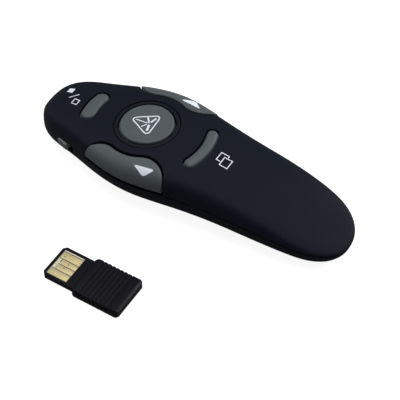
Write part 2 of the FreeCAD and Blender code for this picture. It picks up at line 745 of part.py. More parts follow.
def main_board():
    """Circuit board that follows the body's plan, with two screw holes."""
    board = seam_band(BOARD_INSET, -OVERRUN, OVERRUN)
    board = board.common(block(BOARD_NOSE_X, BOARD_TAIL_X, -BODY_HALF_WIDTH, BODY_HALF_WIDTH,
                               BOARD_UNDERSIDE, BOARD_TOP))
    for y in (-SCREW_Y, SCREW_Y):
        board = board.cut(drum(SCREW_RADIUS + SCREW_CLEARANCE, BODY_HEIGHT, Vector(SCREW_X, y, 0)))
    return board


def switch_case(x, y):
    """Square tact switch body with a round plunger bore."""
    half = SWITCH_SIDE / 2
    case = block(x - half, x + half, y - half, y + half, BOARD_TOP, SWITCH_TOP)
    bore = drum(PLUNGER_RADIUS + RUNNING_GAP, BODY_HEIGHT,
                Vector(x, y, SWITCH_TOP - SWITCH_BORE_DEPTH))
    return case.cut(bore)


def switch_plunger(x, y):
    """Plunger of a tact switch, up against its key's stem."""
    return drum(PLUNGER_RADIUS, PLUNGER_DEPTH + PLUNGER_STAND,
                Vector(x, y, SWITCH_TOP - PLUNGER_DEPTH))


def board_chips():
    """Controller, radio chip and crystal on the board's top."""
    half = CHIP_SIDE / 2
    chips = [block(x - half, x + half, -half, half, BOARD_TOP, BOARD_TOP + CHIP_THICKNESS)
             for x in (CHIP_X, RADIO_X)]
    chips.append(block(RADIO_X - CRYSTAL_LENGTH / 2, RADIO_X + CRYSTAL_LENGTH / 2, CRYSTAL_Y,
                       CRYSTAL_Y + CRYSTAL_WIDTH, BOARD_TOP, BOARD_TOP + CRYSTAL_HEIGHT))
    return Part.makeCompound(chips)


# Batteries and contacts

def cell(side, positive):
    """AAA cell along X; positive is the end, -1 nose or 1 tail, with the nub."""
    body_length = CELL_LENGTH - CELL_NUB_LENGTH
    y = side * CELL_Y
    body_x = CELL_NOSE_X + (CELL_NUB_LENGTH if positive < 0 else 0)
    body = drum(CELL_RADIUS, body_length, Vector(body_x, y, CELL_Z), ALONG)
    nub_x = CELL_NOSE_X if positive < 0 else CELL_NOSE_X + body_length
    return body.fuse(drum(CELL_NUB_RADIUS, CELL_NUB_LENGTH, Vector(nub_x, y, CELL_Z), ALONG))


def dome(x, y, direction):
    """Pressed dome that meets a cell's nub."""
    return drum(CONTACT_DOME_RADIUS, CONTACT_REACH, Vector(x, y, CELL_Z), ALONG * direction)


def leaf(x, y, direction):
    """Tapered spring, pressed flat against a cell's base."""
    return Part.makeCone(SPRING_FOOT_RADIUS, SPRING_TIP_RADIUS, CONTACT_REACH,
                         Vector(x, y, CELL_Z), ALONG * direction)


def nose_contact(side, spring):
    """Stamped plate at the bay's nose end, with a tab up to the board."""
    x = CELL_NOSE_X - CONTACT_REACH
    y = side * CELL_Y
    half = CONTACT_WIDTH / 2
    plate = block(x - CONTACT_THICKNESS, x, y - half, y + half, CONTACT_LOW_Z, CONTACT_HIGH_Z)
    tab = block(x - CONTACT_THICKNESS, x, y - CONTACT_TAB_WIDTH / 2, y + CONTACT_TAB_WIDTH / 2,
                CONTACT_HIGH_Z, BOARD_UNDERSIDE)
    push = leaf(x, y, 1) if spring else dome(x, y, 1)
    return plate.fuse(tab).fuse(push)


def tail_bridge():
    """Plate across the bay's tail end that joins the two cells."""
    x = CELL_NOSE_X + CELL_LENGTH + CONTACT_REACH
    half = CELL_Y + CONTACT_WIDTH / 2
    plate = block(x, x + CONTACT_THICKNESS, -half, half, CONTACT_LOW_Z, CONTACT_HIGH_Z)
    return plate.fuse(leaf(x, NEAR * CELL_Y, -1)).fuse(dome(x, FAR * CELL_Y, -1))


# Laser module

def barrel_envelope(grow):
    """Outer cylinder of the laser barrel."""
    return drum(BARREL_RADIUS + grow, BARREL_LENGTH + OVERRUN,
                Vector(BARREL_NOSE_X, 0, LASER_Z), ALONG)


def laser_barrel():
    """Brass barrel, stepped inside for the lens, the beam and the diode."""
    barrel = drum(BARREL_RADIUS, BARREL_LENGTH, Vector(BARREL_NOSE_X, 0, LASER_Z), ALONG)
    lens_bore = LENS_SETBACK + LENS_THICKNESS
    barrel = barrel.cut(drum(LENS_RADIUS + OPTIC_GAP, lens_bore,
                             Vector(BARREL_NOSE_X, 0, LASER_Z), ALONG))
    barrel = barrel.cut(drum(BEAM_RADIUS, BARREL_LENGTH, Vector(BARREL_NOSE_X, 0, LASER_Z), ALONG))
    back = BARREL_NOSE_X + BARREL_LENGTH - DIODE_FLANGE_THICKNESS
    return barrel.cut(drum(DIODE_FLANGE_RADIUS + OPTIC_GAP, BARREL_LENGTH,
                           Vector(back, 0, LASER_Z), ALONG))


def collimator_lens():
    """Plano-convex lens in the barrel's mouth, its flat on the inner step."""
    x = BARREL_NOSE_X + LENS_SETBACK
    disc = drum(LENS_RADIUS, LENS_THICKNESS, Vector(x, 0, LASER_Z), ALONG)
    ball = Part.makeSphere(LENS_CROWN_RADIUS, Vector(x + LENS_CROWN_RADIUS, 0, LASER_Z))
    return disc.common(ball)


def laser_diode():
    """Diode can on its flange, seated in the barrel's back."""
    flange_x = BARREL_NOSE_X + BARREL_LENGTH - DIODE_FLANGE_THICKNESS
    flange = drum(DIODE_FLANGE_RADIUS, DIODE_FLANGE_THICKNESS, Vector(flange_x, 0, LASER_Z), ALONG)
    return flange.fuse(drum(DIODE_CAN_RADIUS, DIODE_CAN_LENGTH,
                            Vector(flange_x - DIODE_CAN_LENGTH, 0, LASER_Z), ALONG))


def laser_driver():
    """Small driver board on the diode's back."""
    x = BARREL_NOSE_X + BARREL_LENGTH
    return block(x, x + DRIVER_THICKNESS, -DRIVER_HALF_WIDTH, DRIVER_HALF_WIDTH,
                 LASER_Z - DRIVER_HALF_HEIGHT, LASER_Z + DRIVER_HALF_HEIGHT)


def laser_leads():
    """Two stiff leads from the driver board up to the main board."""
    foot = LASER_Z + DRIVER_HALF_HEIGHT
    return Part.makeCompound([drum(LEAD_RADIUS, BOARD_UNDERSIDE - foot, Vector(LEAD_X, y, foot))
                              for y in (-LEAD_Y, LEAD_Y)])


def nose_window():
    """Clear stepped disc in the nose wall, flanged on the inside."""
    disc = drum(WINDOW_RADIUS, NOSE_WALL_X - WINDOW_FACE_X, Vector(WINDOW_FACE_X, 0, LASER_Z),
                ALONG)
    return disc.fuse(drum(WINDOW_FLANGE_RADIUS, WINDOW_FLANGE_THICKNESS,
                          Vector(NOSE_WALL_X, 0, LASER_Z), ALONG))


# Power slider

def power_slider():
    """Ribbed knob in the side slot, with the plate that covers the slot inside."""
    start = -SLIDER_TRAVEL / 2 - KNOB_LENGTH / 2
    half_height = KNOB_HEIGHT / 2
    knob = block(start, start + KNOB_LENGTH, -KNOB_PROUD, SLIDER_PLATE_IN,
                 KNOB_Z - half_height, KNOB_Z + half_height)
    pitch = KNOB_LENGTH / (2 * KNOB_RIBS + 1)
    for count in range(KNOB_RIBS):
        groove = start + (2 * count + 1) * pitch
        knob = knob.cut(block(groove, groove + pitch, -KNOB_PROUD - OVERRUN,
                              -KNOB_PROUD + KNOB_RIB_DEPTH, KNOB_Z - KNOB_HEIGHT,
                              KNOB_Z + KNOB_HEIGHT))
    margin = SLIDER_TRAVEL + KNOB_GAP + SLIDER_PLATE_LAP
    plate = block(start - margin, start + KNOB_LENGTH + margin, SLIDER_PLATE_IN,
                  SLIDER_PLATE_IN + SLIDER_PLATE_THICKNESS,
                  KNOB_Z - SLIDER_PLATE_HEIGHT / 2, KNOB_Z + SLIDER_PLATE_HEIGHT / 2)
    notch = lever_block(RUNNING_GAP, SLIDER_PLATE_IN + SLIDER_PLATE_THICKNESS - LEVER_NOTCH,
                        POWER_SWITCH_IN)
    return slider_frame(knob.fuse(plate).cut(notch))


def lever_block(grow, inner, outer):
    """Box of the switch lever at rest, grown sideways, between two depths."""
    middle = -SLIDER_TRAVEL / 2
    return block(middle - LEVER_WIDTH / 2 - grow, middle + LEVER_WIDTH / 2 + grow, inner, outer,
                 KNOB_Z - LEVER_HEIGHT / 2 - grow, KNOB_Z + LEVER_HEIGHT / 2 + grow)


def power_switch_lever():
    """Lever of the slide switch, in the slider's notch."""
    root = SLIDER_PLATE_IN + SLIDER_PLATE_THICKNESS - LEVER_NOTCH + RUNNING_GAP
    return slider_frame(lever_block(0, root, POWER_SWITCH_IN + LEVER_BITE))


def power_switch_case():
    """Slide switch body under the board, with its lever's slot."""
    half = POWER_SWITCH_LENGTH / 2
    case = block(-half, half, POWER_SWITCH_IN, POWER_SWITCH_IN + POWER_SWITCH_DEPTH,
                 BOARD_UNDERSIDE - POWER_SWITCH_HEIGHT, BOARD_UNDERSIDE)
    reach = (LEVER_WIDTH + SLIDER_TRAVEL) / 2 + 2 * RUNNING_GAP
    slot = block(-reach, reach, POWER_SWITCH_IN - SINK, POWER_SWITCH_IN + LEVER_BITE + RUNNING_GAP,
                 KNOB_Z - LEVER_HEIGHT / 2 - RUNNING_GAP, KNOB_Z + LEVER_HEIGHT / 2 + RUNNING_GAP)
    return slider_frame(case.cut(slot))


# USB receiver, drawn along X from its tongue's tip and then put in place

def at_receiver(shape):
    """Move a shape from the receiver's own frame to its place on the table."""
    placed = shape.copy()
    placed.rotate(Vector(0, 0, 0), UP, RECEIVER_TURN)
    placed.translate(Vector(RECEIVER_X, RECEIVER_Y, 0))
    return placed


def board_pocket(grow):
    """Space of the receiver's board, inside the tongue's rim and back into the housing."""
    half = TONGUE_WIDTH / 2 - TONGUE_RIM + grow
    top = TONGUE_Z + TONGUE_THICKNESS - WELL_DEPTH
    return block(TONGUE_RIM - grow, TONGUE_LENGTH + USB_BOARD_INSERT + grow, -half, half,
                 top - USB_BOARD_THICKNESS - grow, top + grow)


def receiver_tongue():
    """Plastic tongue round its board, with a well over the contacts."""
    half = TONGUE_WIDTH / 2
    tongue = block(0, TONGUE_LENGTH + TONGUE_INSERT, -half, half, TONGUE_Z,
                   TONGUE_Z + TONGUE_THICKNESS)
    corners = [edge for edge in tongue.Edges if is_upright(edge) and edge.CenterOfMass.x == 0]
    tongue = tongue.makeChamfer(TONGUE_CORNER, corners)
    top = TONGUE_Z + TONGUE_THICKNESS
    well = block(TONGUE_RIM, TONGUE_RIM + WELL_LENGTH, -half + TONGUE_RIM, half - TONGUE_RIM,
                 top - WELL_DEPTH, top + OVERRUN)
    return at_receiver(tongue.cut(board_pocket(USB_FIT)).cut(well))


def receiver_board():
    """Thin board from the tongue's tip back into the housing."""
    return at_receiver(board_pocket(0))


def receiver_contacts():
    """Four contact strips on the board, the inner pair set back."""
    foot = TONGUE_Z + TONGUE_THICKNESS - WELL_DEPTH
    tail = TONGUE_RIM + WELL_LENGTH - STRIP_SETBACK
    strips = []
    for y, length in ((-OUTER_STRIP_Y, OUTER_STRIP_LENGTH), (-INNER_STRIP_Y, INNER_STRIP_LENGTH),
                      (INNER_STRIP_Y, INNER_STRIP_LENGTH), (OUTER_STRIP_Y, OUTER_STRIP_LENGTH)):
        strips.append(block(tail - length, tail, y - CONTACT_STRIP_WIDTH / 2,
                            y + CONTACT_STRIP_WIDTH / 2, foot, foot + CONTACT_STRIP_THICKNESS))
    return at_receiver(Part.makeCompound(strips))


def receiver_housing():
    """Grip of the receiver: rounded block, ribbed over its top and sides, open at the front."""
    front = TONGUE_LENGTH
    back = front + HOUSING_LENGTH
    half = HOUSING_WIDTH / 2
    body = block(front, back, -half, half, 0, HOUSING_HEIGHT)
    uprights = [edge for edge in body.Edges if is_upright(edge)]
    body = body.makeFillet(HOUSING_CORNER, uprights)
    rims = [edge for edge in body.Edges if not is_upright(edge)
            and (edge.BoundBox.ZMin == edge.BoundBox.ZMax or edge.BoundBox.ZLength < HOUSING_EDGE)]
    body = body.makeChamfer(HOUSING_EDGE, rims)
    core = block(front - OVERRUN, back + OVERRUN, -half + RIB_DEPTH, half - RIB_DEPTH,
                 -OVERRUN, HOUSING_HEIGHT - RIB_DEPTH)
    for count in range(RIB_COUNT):
        x = front + RIB_START + count * RIB_PITCH
        slab = block(x, x + RIB_GROOVE, -half - OVERRUN, half + OVERRUN, HOUSING_EDGE,
                     HOUSING_HEIGHT + OVERRUN)
        body = body.cut(slab.cut(core))
    seat = block(front - OVERRUN, front + TONGUE_INSERT + USB_FIT, -TONGUE_WIDTH / 2 - USB_FIT,
                 TONGUE_WIDTH / 2 + USB_FIT, TONGUE_Z - USB_FIT,
                 TONGUE_Z + TONGUE_THICKNESS + USB_FIT)
    half_pocket = TONGUE_WIDTH / 2 - TONGUE_RIM + USB_FIT
    middle = TONGUE_Z + TONGUE_THICKNESS / 2
    pocket = block(front, front + USB_BOARD_INSERT + USB_FIT, -half_pocket, half_pocket,
                   middle - HOUSING_POCKET_HEIGHT / 2, middle + HOUSING_POCKET_HEIGHT / 2)
    return at_receiver(body.cut(seat).cut(pocket))


def receiver_chip():
    """Radio chip under the receiver's board."""
    back = TONGUE_LENGTH + USB_BOARD_INSERT - USB_CHIP_BACK
    top = TONGUE_Z + TONGUE_THICKNESS - WELL_DEPTH - USB_BOARD_THICKNESS
    return at_receiver(block(back, back + USB_CHIP_LENGTH, -USB_CHIP_WIDTH / 2,
                             USB_CHIP_WIDTH / 2, top - USB_CHIP_HEIGHT, top))


def all_parts():
    """Every piece by node name."""
    parts = {"upper_shell": upper_shell(), "lower_shell": lower_shell(),
             "battery_cover": battery_cover(), "case_screws": case_screws(),
             "bezel_ring": bezel_ring(), "laser_key": laser_key(), "blank_key": blank_key(),
             "window_key": window_key(), "next_key": wing_key()}
    parts["previous_key"] = mirrored(parts["next_key"])
    parts["main_board"] = main_board()
    parts["board_chips"] = board_chips()
    for name, (x, y) in key_places().items():
        parts[name + "_switch"] = switch_case(x, y)
        parts[name + "_plunger"] = switch_plunger(x, y)
    parts["near_cell"] = cell(NEAR, -1)
    parts["far_cell"] = cell(FAR, 1)
    parts["positive_contact"] = nose_contact(NEAR, False)
    parts["negative_contact"] = nose_contact(FAR, True)
    parts["bridge_contact"] = tail_bridge()
    parts["laser_barrel"] = laser_barrel()
    parts["collimator_lens"] = collimator_lens()
    parts["laser_diode"] = laser_diode()
    parts["laser_driver"] = laser_driver()
    parts["laser_leads"] = laser_leads()
    parts["nose_window"] = nose_window()
    parts["power_slider"] = power_slider()
    parts["power_switch_lever"] = power_switch_lever()
    parts["power_switch_case"] = power_switch_case()
    parts["receiver_housing"] = receiver_housing()
    parts["receiver_tongue"] = receiver_tongue()
    parts["receiver_board"] = receiver_board()
    parts["receiver_contacts"] = receiver_contacts()
    parts["receiver_chip"] = receiver_chip()
    return parts


def main():
    """Write each piece and say how large it is."""
    os.makedirs("parts", exist_ok=True)
    for name, shape in all_parts().items():
        shape.exportStep("parts/" + name + ".step")
        box = shape.BoundBox
        print(name, len(shape.Solids), "solids", round(shape.Volume, 1), shape.isValid(),
              [round(value, 2) for value in (box.XMin, box.XMax, box.YMin, box.YMax,
                                             box.ZMin, box.ZMax)])


main()
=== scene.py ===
import json
import logging
import math
from contextlib import contextmanager
from dataclasses import dataclass
from enum import Enum
from functools import cache
from typing import Callable, Iterator

import bpy
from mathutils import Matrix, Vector


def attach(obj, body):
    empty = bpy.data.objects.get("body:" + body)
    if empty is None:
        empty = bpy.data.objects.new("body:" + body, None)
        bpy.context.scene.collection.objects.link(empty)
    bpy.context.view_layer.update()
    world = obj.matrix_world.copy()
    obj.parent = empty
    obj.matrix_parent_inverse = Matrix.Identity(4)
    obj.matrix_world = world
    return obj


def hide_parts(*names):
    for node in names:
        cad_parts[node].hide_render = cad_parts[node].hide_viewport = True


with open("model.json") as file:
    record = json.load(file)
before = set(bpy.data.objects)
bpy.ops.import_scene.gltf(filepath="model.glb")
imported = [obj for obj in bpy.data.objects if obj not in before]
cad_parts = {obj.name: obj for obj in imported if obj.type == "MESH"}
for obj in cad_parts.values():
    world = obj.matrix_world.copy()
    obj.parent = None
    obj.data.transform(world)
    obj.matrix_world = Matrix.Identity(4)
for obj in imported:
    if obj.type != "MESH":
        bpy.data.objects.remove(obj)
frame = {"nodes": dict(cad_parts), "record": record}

# Lengths are in millimetres. Fields hold angles in degrees, and functions pass turns in radians

MM = 0.001
UP = Vector((0.0, 0.0, 1.0))
LOOK = 60.0
MERGE_GAP = 0.002
TOUCH_GAP = 0.003
FLAT_ANGLE = 0.5
LEAST_MITRE = 0.2
LOG = logging.getLogger("clicker")
Colour = tuple[float, float, float]
Pair = tuple[float, float]
Plan = tuple[float, float]
Point = tuple[float, float, float]
Piece = bpy.types.Object
Material = bpy.types.Material
Node = bpy.types.Node


class Side(Enum):
    """Flanks of the housing, by the sign of their Y."""

    NEAR = -1
    FAR = 1


# Handling of meshes

def deselect() -> None:
    """Leave nothing selected, in object mode."""
    if bpy.context.object and bpy.context.object.mode != "OBJECT":
        bpy.ops.object.mode_set(mode="OBJECT")
    bpy.ops.object.select_all(action="DESELECT")


def activate(piece: Piece) -> None:
    """Select one piece alone and make it active.

    Args:
        piece: The object.
    """
    deselect()
    piece.select_set(True)
    bpy.context.view_layer.objects.active = piece


@contextmanager
def editing(piece: Piece, action: str | None = "SELECT") -> Iterator[None]:
    """Hold one piece in edit mode for as long as a with block lasts.

    Args:
        piece: Mesh object to change.
        action: What is done to the selection first, or None to keep it.
    """
    activate(piece)
    bpy.ops.object.mode_set(mode="EDIT")
    if action:
        bpy.ops.mesh.select_all(action=action)
    yield
    bpy.ops.object.mode_set(mode="OBJECT")


def named(name: str) -> Piece:
    """Name the object that an operator has just added.

    Args:
        name: Plain name for the object and its mesh.

    Returns:
        The renamed object.
    """
    piece = bpy.context.object
    piece.name = piece.data.name = name
    return piece


def settle(piece: Piece) -> Piece:
    """Move a piece's place, turn and scale into its mesh.

    Args:
        piece: Mesh object placed by its transform.

    Returns:
        The same object, at the origin.
    """
    activate(piece)
    bpy.ops.object.transform_apply(location=True, rotation=True, scale=True)
    return piece


def finish_with(piece: Piece, kind: str, **settings: object) -> None:
    """Add one modifier with its settings and apply it.

    Args:
        piece: Mesh object to change.
        kind: Blender's name for the modifier type.
        settings: Values set on the modifier.
    """
    activate(piece)
    modifier = piece.modifiers.new(kind.title(), kind)
    for key, value in settings.items():
        setattr(modifier, key, value)
    bpy.ops.object.modifier_apply(modifier=modifier.name)


def smooth(piece: Piece, degrees: float = 35.0) -> None:
    """Shade a piece smooth, with edges past an angle in degrees kept crisp."""
    activate(piece)
    bpy.ops.object.shade_smooth_by_angle(angle=math.radians(degrees))


def merged_copy(node: str, name: str, flat: bool = False) -> Piece:
    """Copy a CAD node's mesh and merge its loose triangles.

    Args:
        node: Name of the CAD node.
        name: Name of the copy.
        flat: Whether the triangles of each flat side become one face.

    Returns:
        The copy, unparented and without the node's own marks.
    """
    activate(frame["nodes"][node])
    bpy.ops.object.duplicate()
    piece = named(name)
    for key in list(piece.keys()):
        del piece[key]
    piece.parent = None
    piece.data.materials.clear()
    with editing(piece):
        bpy.ops.mesh.remove_doubles(threshold=MERGE_GAP * MM)
        if flat:
            bpy.ops.mesh.dissolve_limited(angle_limit=math.radians(FLAT_ANGLE))
    return piece


def sheet(name: str, columns: int, rows: int, place: Callable[[float, float], Vector],
          outward: Vector) -> Piece:
    """Add a grid and lay it over a surface.

    Args:
        name: Name of the new piece.
        columns: Faces along the first direction.
        rows: Faces along the second direction.
        place: Gives the point, for two shares from 0 to 1.
        outward: Direction that most faces should look in.

    Returns:
        The shaped sheet, with touching points merged.
    """
    deselect()
    bpy.ops.mesh.primitive_grid_add(x_subdivisions=columns, y_subdivisions=rows, size=1.0)
    piece = named(name)
    for vertex in piece.data.vertices:
        vertex.co = place(vertex.co.x + 0.5, vertex.co.y + 0.5) * MM
    piece.data.update()
    facing = sum((face.normal * face.area for face in piece.data.polygons), Vector())
    with editing(piece):
        bpy.ops.mesh.remove_doubles(threshold=TOUCH_GAP * MM)
        if facing.dot(outward) < 0.0:
            bpy.ops.mesh.flip_normals()
    return piece


def round_sharp(piece: Piece, degrees: float, width: float, segments: int) -> None:
    """Bevel every edge that is sharper than an angle.

    Args:
        piece: Mesh object to change.
        degrees: Angle above which an edge counts as sharp.
        width: Width of the bevel.
        segments: Faces across the bevel.
    """
    with editing(piece, "DESELECT"):
        bpy.ops.mesh.select_mode(type="EDGE")
        bpy.ops.mesh.edges_select_sharp(sharpness=math.radians(degrees))
        bpy.ops.mesh.bevel(offset=width * MM, segments=segments, affect="EDGES")


def make_outward(piece: Piece) -> None:
    """Turn every face of a closed piece outwards."""
    with editing(piece):
        bpy.ops.mesh.normals_make_consistent(inside=False)


def trim(piece: Piece, spot: Vector, outward: Vector) -> None:
    """Cut away what lies outward of a plane through a spot, and close the cut."""
    with editing(piece):
        bpy.ops.mesh.bisect(plane_co=spot * MM, plane_no=outward, clear_outer=True, use_fill=True)


def kept_under(node: str, height: float) -> Piece:
    """Copy what lies under a height of a CAD node, closed with a flat face.

    Args:
        node: Name of the CAD node.
        height: Where the node is cut.

    Returns:
        The part that is kept.
    """
    piece = merged_copy(node, node + "_under")
    trim(piece, UP * height, UP)
    smooth(piece, degrees=30.0)
    return piece


def joined(piece: Piece, other: Piece) -> Piece:
    """Join two pieces.

    Args:
        piece: Mesh object that keeps its name.
        other: Mesh object that it takes up.

    Returns:
        The first, with both meshes.
    """
    activate(piece)
    other.select_set(True)
    bpy.ops.object.join()
    return piece


def rolled(rim: float, steps: int) -> list[Pair]:
    """List how far in and down a quarter circle lies, from its wall over to its top."""
    turns = [math.pi / 2 * step / steps for step in range(steps + 1)]
    return [(rim * (1.0 - math.cos(turn)), rim * (1.0 - math.sin(turn))) for turn in turns]


def met(node: str, start: Vector, way: Vector) -> Vector | None:
    """Find the point where a look one way from a start first meets a CAD node, or None."""
    hit, point, _, _ = frame["nodes"][node].ray_cast(start * MM, way, distance=LOOK * MM)
    return point / MM if hit else None


# Finishes

def fill(node: Node, **values: object) -> Node:
    """Set a node's properties and unlinked inputs.

    Args:
        node: The shader node.
        values: Node properties, or input values by socket name.

    Returns:
        The same node.
    """
    for key, value in values.items():
        if hasattr(node, key):
            setattr(node, key, value)
        else:
            value = (*value, 1.0) if isinstance(value, tuple) else value
            node.inputs[key.replace("_", " ")].default_value = value
    return node


class Shader:
    """Short names for adding and joining nodes in one tree."""

    def __init__(self, tree: bpy.types.NodeTree) -> None:
        """Keep the tree that the nodes go in."""
        self.tree = tree

    def add(self, kind: str, **values: object) -> Node:
        """Add a node by its type without the ShaderNode prefix, and fill it."""
        return fill(self.tree.nodes.new("ShaderNode" + kind), **values)

    def join(self, source: bpy.types.NodeSocket, target: bpy.types.NodeSocket) -> None:
        """Link an output to an input."""
        self.tree.links.new(source, target)

    def placed(self, kind: str, **values: object) -> Node:
        """Add a node that reads the object's own coordinates.

        Args:
            kind: Node type without its ShaderNode prefix.
            values: Node properties, or input values by socket name.

        Returns:
            The new node.
        """
        node = self.add(kind, **values)
        self.join(self.add("TexCoord").outputs["Object"], node.inputs[0])
        return node

    def mottle(self, principled: Node, scale: float, low: Colour, high: Colour) -> None:
        """Mottle the base colour between two tints.

        Args:
            principled: The node that takes the colour.
            scale: Scale of the mottling.
            low: One tint.
            high: The other tint.
        """
        cloud = self.placed("TexNoise", Scale=scale)
        ramp = self.add("ValToRGB")
        for element, colour in zip(ramp.color_ramp.elements, (low, high)):
            element.color = (*colour, 1.0)
        self.join(cloud.outputs["Fac"], ramp.inputs["Fac"])
        self.join(ramp.outputs["Color"], principled.inputs["Base Color"])


def moulded_grain() -> bpy.types.NodeTree:
    """Build the group that gives moulded surfaces their grain and mottling.

    Returns:
        The shader node group, made on its first use.
    """
    made = bpy.data.node_groups.get("Moulded grain")
    if made:
        return made
    group = bpy.data.node_groups.new("Moulded grain", "ShaderNodeTree")
    for way, kind, names in (
            ("INPUT", "Color", ("Colour", "Second colour")),
            ("INPUT", "Float", ("Grain size", "Grain depth", "Low roughness", "High roughness")),
            ("OUTPUT", "Color", ("Colour",)), ("OUTPUT", "Float", ("Roughness",)),
            ("OUTPUT", "Vector", ("Normal",))):
        for name in names:
            group.interface.new_socket(name, in_out=way, socket_type="NodeSocket" + kind)
    shader = Shader(group)
    given = group.nodes.new("NodeGroupInput").outputs
    result = group.nodes.new("NodeGroupOutput").inputs
    pace = shader.add("Math", operation="DIVIDE")
    pace.inputs[0].default_value = 1.0
    grain = shader.placed("TexNoise", Detail=3.0, Roughness=0.6)
    cloud = shader.placed("TexNoise", Scale=160.0, Detail=2.0)
    tint = shader.add("Mix", data_type="RGBA")
    gloss = shader.add("MapRange")
    bump = shader.add("Bump", Strength=1.0)
    for source, target in (
            (given["Grain size"], pace.inputs[1]), (pace.outputs[0], grain.inputs["Scale"]),
            (cloud.outputs["Fac"], tint.inputs[0]), (given["Colour"], tint.inputs[6]),
            (given["Second colour"], tint.inputs[7]), (tint.outputs[2], result["Colour"]),
            (grain.outputs["Fac"], gloss.inputs["Value"]),
            (given["Low roughness"], gloss.inputs["To Min"]),
            (given["High roughness"], gloss.inputs["To Max"]),
            (gloss.outputs["Result"], result["Roughness"]),
            (grain.outputs["Fac"], bump.inputs["Height"]),
            (given["Grain depth"], bump.inputs["Distance"]),
            (bump.outputs["Normal"], result["Normal"])):
        shader.join(source, target)
    return group


def new_material(name: str) -> tuple[Material, Shader, Node]:
    """Start a material with its Principled shader.

    Args:
        name: Plain name of the finish.

    Returns:
        The material, its node helper and the Principled node.
    """
    material = bpy.data.materials.new(name)
    material.use_nodes = True
    shader = Shader(material.node_tree)
    principled = next(node for node in material.node_tree.nodes if node.type == "BSDF_PRINCIPLED")
    return material, shader, principled


@dataclass(frozen=True)
class Finish:
    """A named finish."""

    name: str

    def make(self) -> Material:
        """Build the finish's material."""
        raise NotImplementedError

    def material(self) -> Material:
        """Material of the finish, made on its first use."""
        return bpy.data.materials.get(self.name) or self.make()


@dataclass(frozen=True)
class Moulded(Finish):
    """Moulded plastic or rubber paint, with a fine grain."""

    colour: Colour
    second: Colour
    roughness: Pair
    grain: float = 0.12
    depth: float = 0.006
    specular: float = 0.5
    metallic: float = 0.0

    def make(self) -> Material:
        """Take colour, roughness and normal from the grain group.

        Returns:
            The material.
        """
        material, shader, principled = new_material(self.name)
        grain = shader.tree.nodes.new("ShaderNodeGroup")
        grain.node_tree = moulded_grain()
        fill(grain, Colour=self.colour, Second_colour=self.second,
             Grain_size=self.grain * MM, Grain_depth=self.depth * MM,
             Low_roughness=self.roughness[0], High_roughness=self.roughness[1])
        for source, target in (("Colour", "Base Color"), ("Roughness", "Roughness"),
                               ("Normal", "Normal")):
            shader.join(grain.outputs[source], principled.inputs[target])
        fill(principled, Specular_IOR_Level=self.specular, Metallic=self.metallic)
        return material


@dataclass(frozen=True)
class Clear(Finish):
    """Clear or tinted lens plastic."""

    colour: Colour
    roughness: float
    lighter: float = 1.1

    def make(self) -> Material:
        """Let light through a slightly mottled tint.

        Returns:
            The material.
        """
        material, shader, principled = new_material(self.name)
        shader.mottle(principled, scale=900.0, low=self.colour,
                      high=tuple(min(1.0, part * self.lighter) for part in self.colour))
        fill(principled, Roughness=self.roughness, Transmission_Weight=1.0)
        return material


@dataclass(frozen=True)
class Banded(Finish):
    """Two colours that meet at a place along X, as on a battery's sleeve."""

    nose: Colour
    tail: Colour
    meet: float
    roughness: float

    def make(self) -> Material:
        """Split the colour at one X of the object's own coordinates.

        Returns:
            The material.
        """
        material, shader, principled = new_material(self.name)
        parts = shader.placed("SeparateXYZ")
        past = shader.add("Math", operation="GREATER_THAN")
        past.inputs[1].default_value = self.meet * MM
        tint = shader.add("Mix", data_type="RGBA")
        tint.inputs[6].default_value = (*self.nose, 1.0)
        tint.inputs[7].default_value = (*self.tail, 1.0)
        shader.join(parts.outputs["X"], past.inputs[0])
        shader.join(past.outputs[0], tint.inputs[0])
        shader.join(tint.outputs[2], principled.inputs["Base Color"])
        fill(principled, Roughness=self.roughness)
        return material


@dataclass(frozen=True)
class Board(Finish):
    """Solder-masked circuit board with faint copper runs."""

    mask: Colour
    run: Colour
    pitch: float
    darker: float = 0.85

    def make(self) -> Material:
        """Lay a glossy mask over a pattern of runs.

        Returns:
            The material.
        """
        material, shader, principled = new_material(self.name)
        runs = shader.placed("TexBrick", Scale=1.0 / (self.pitch * MM), Color1=self.mask,
                             Color2=tuple(part * self.darker for part in self.mask),
                             Mortar=self.run, Mortar_Size=0.05)
        shader.join(runs.outputs["Color"], principled.inputs["Base Color"])
        fill(principled, Roughness=0.35)
        return material


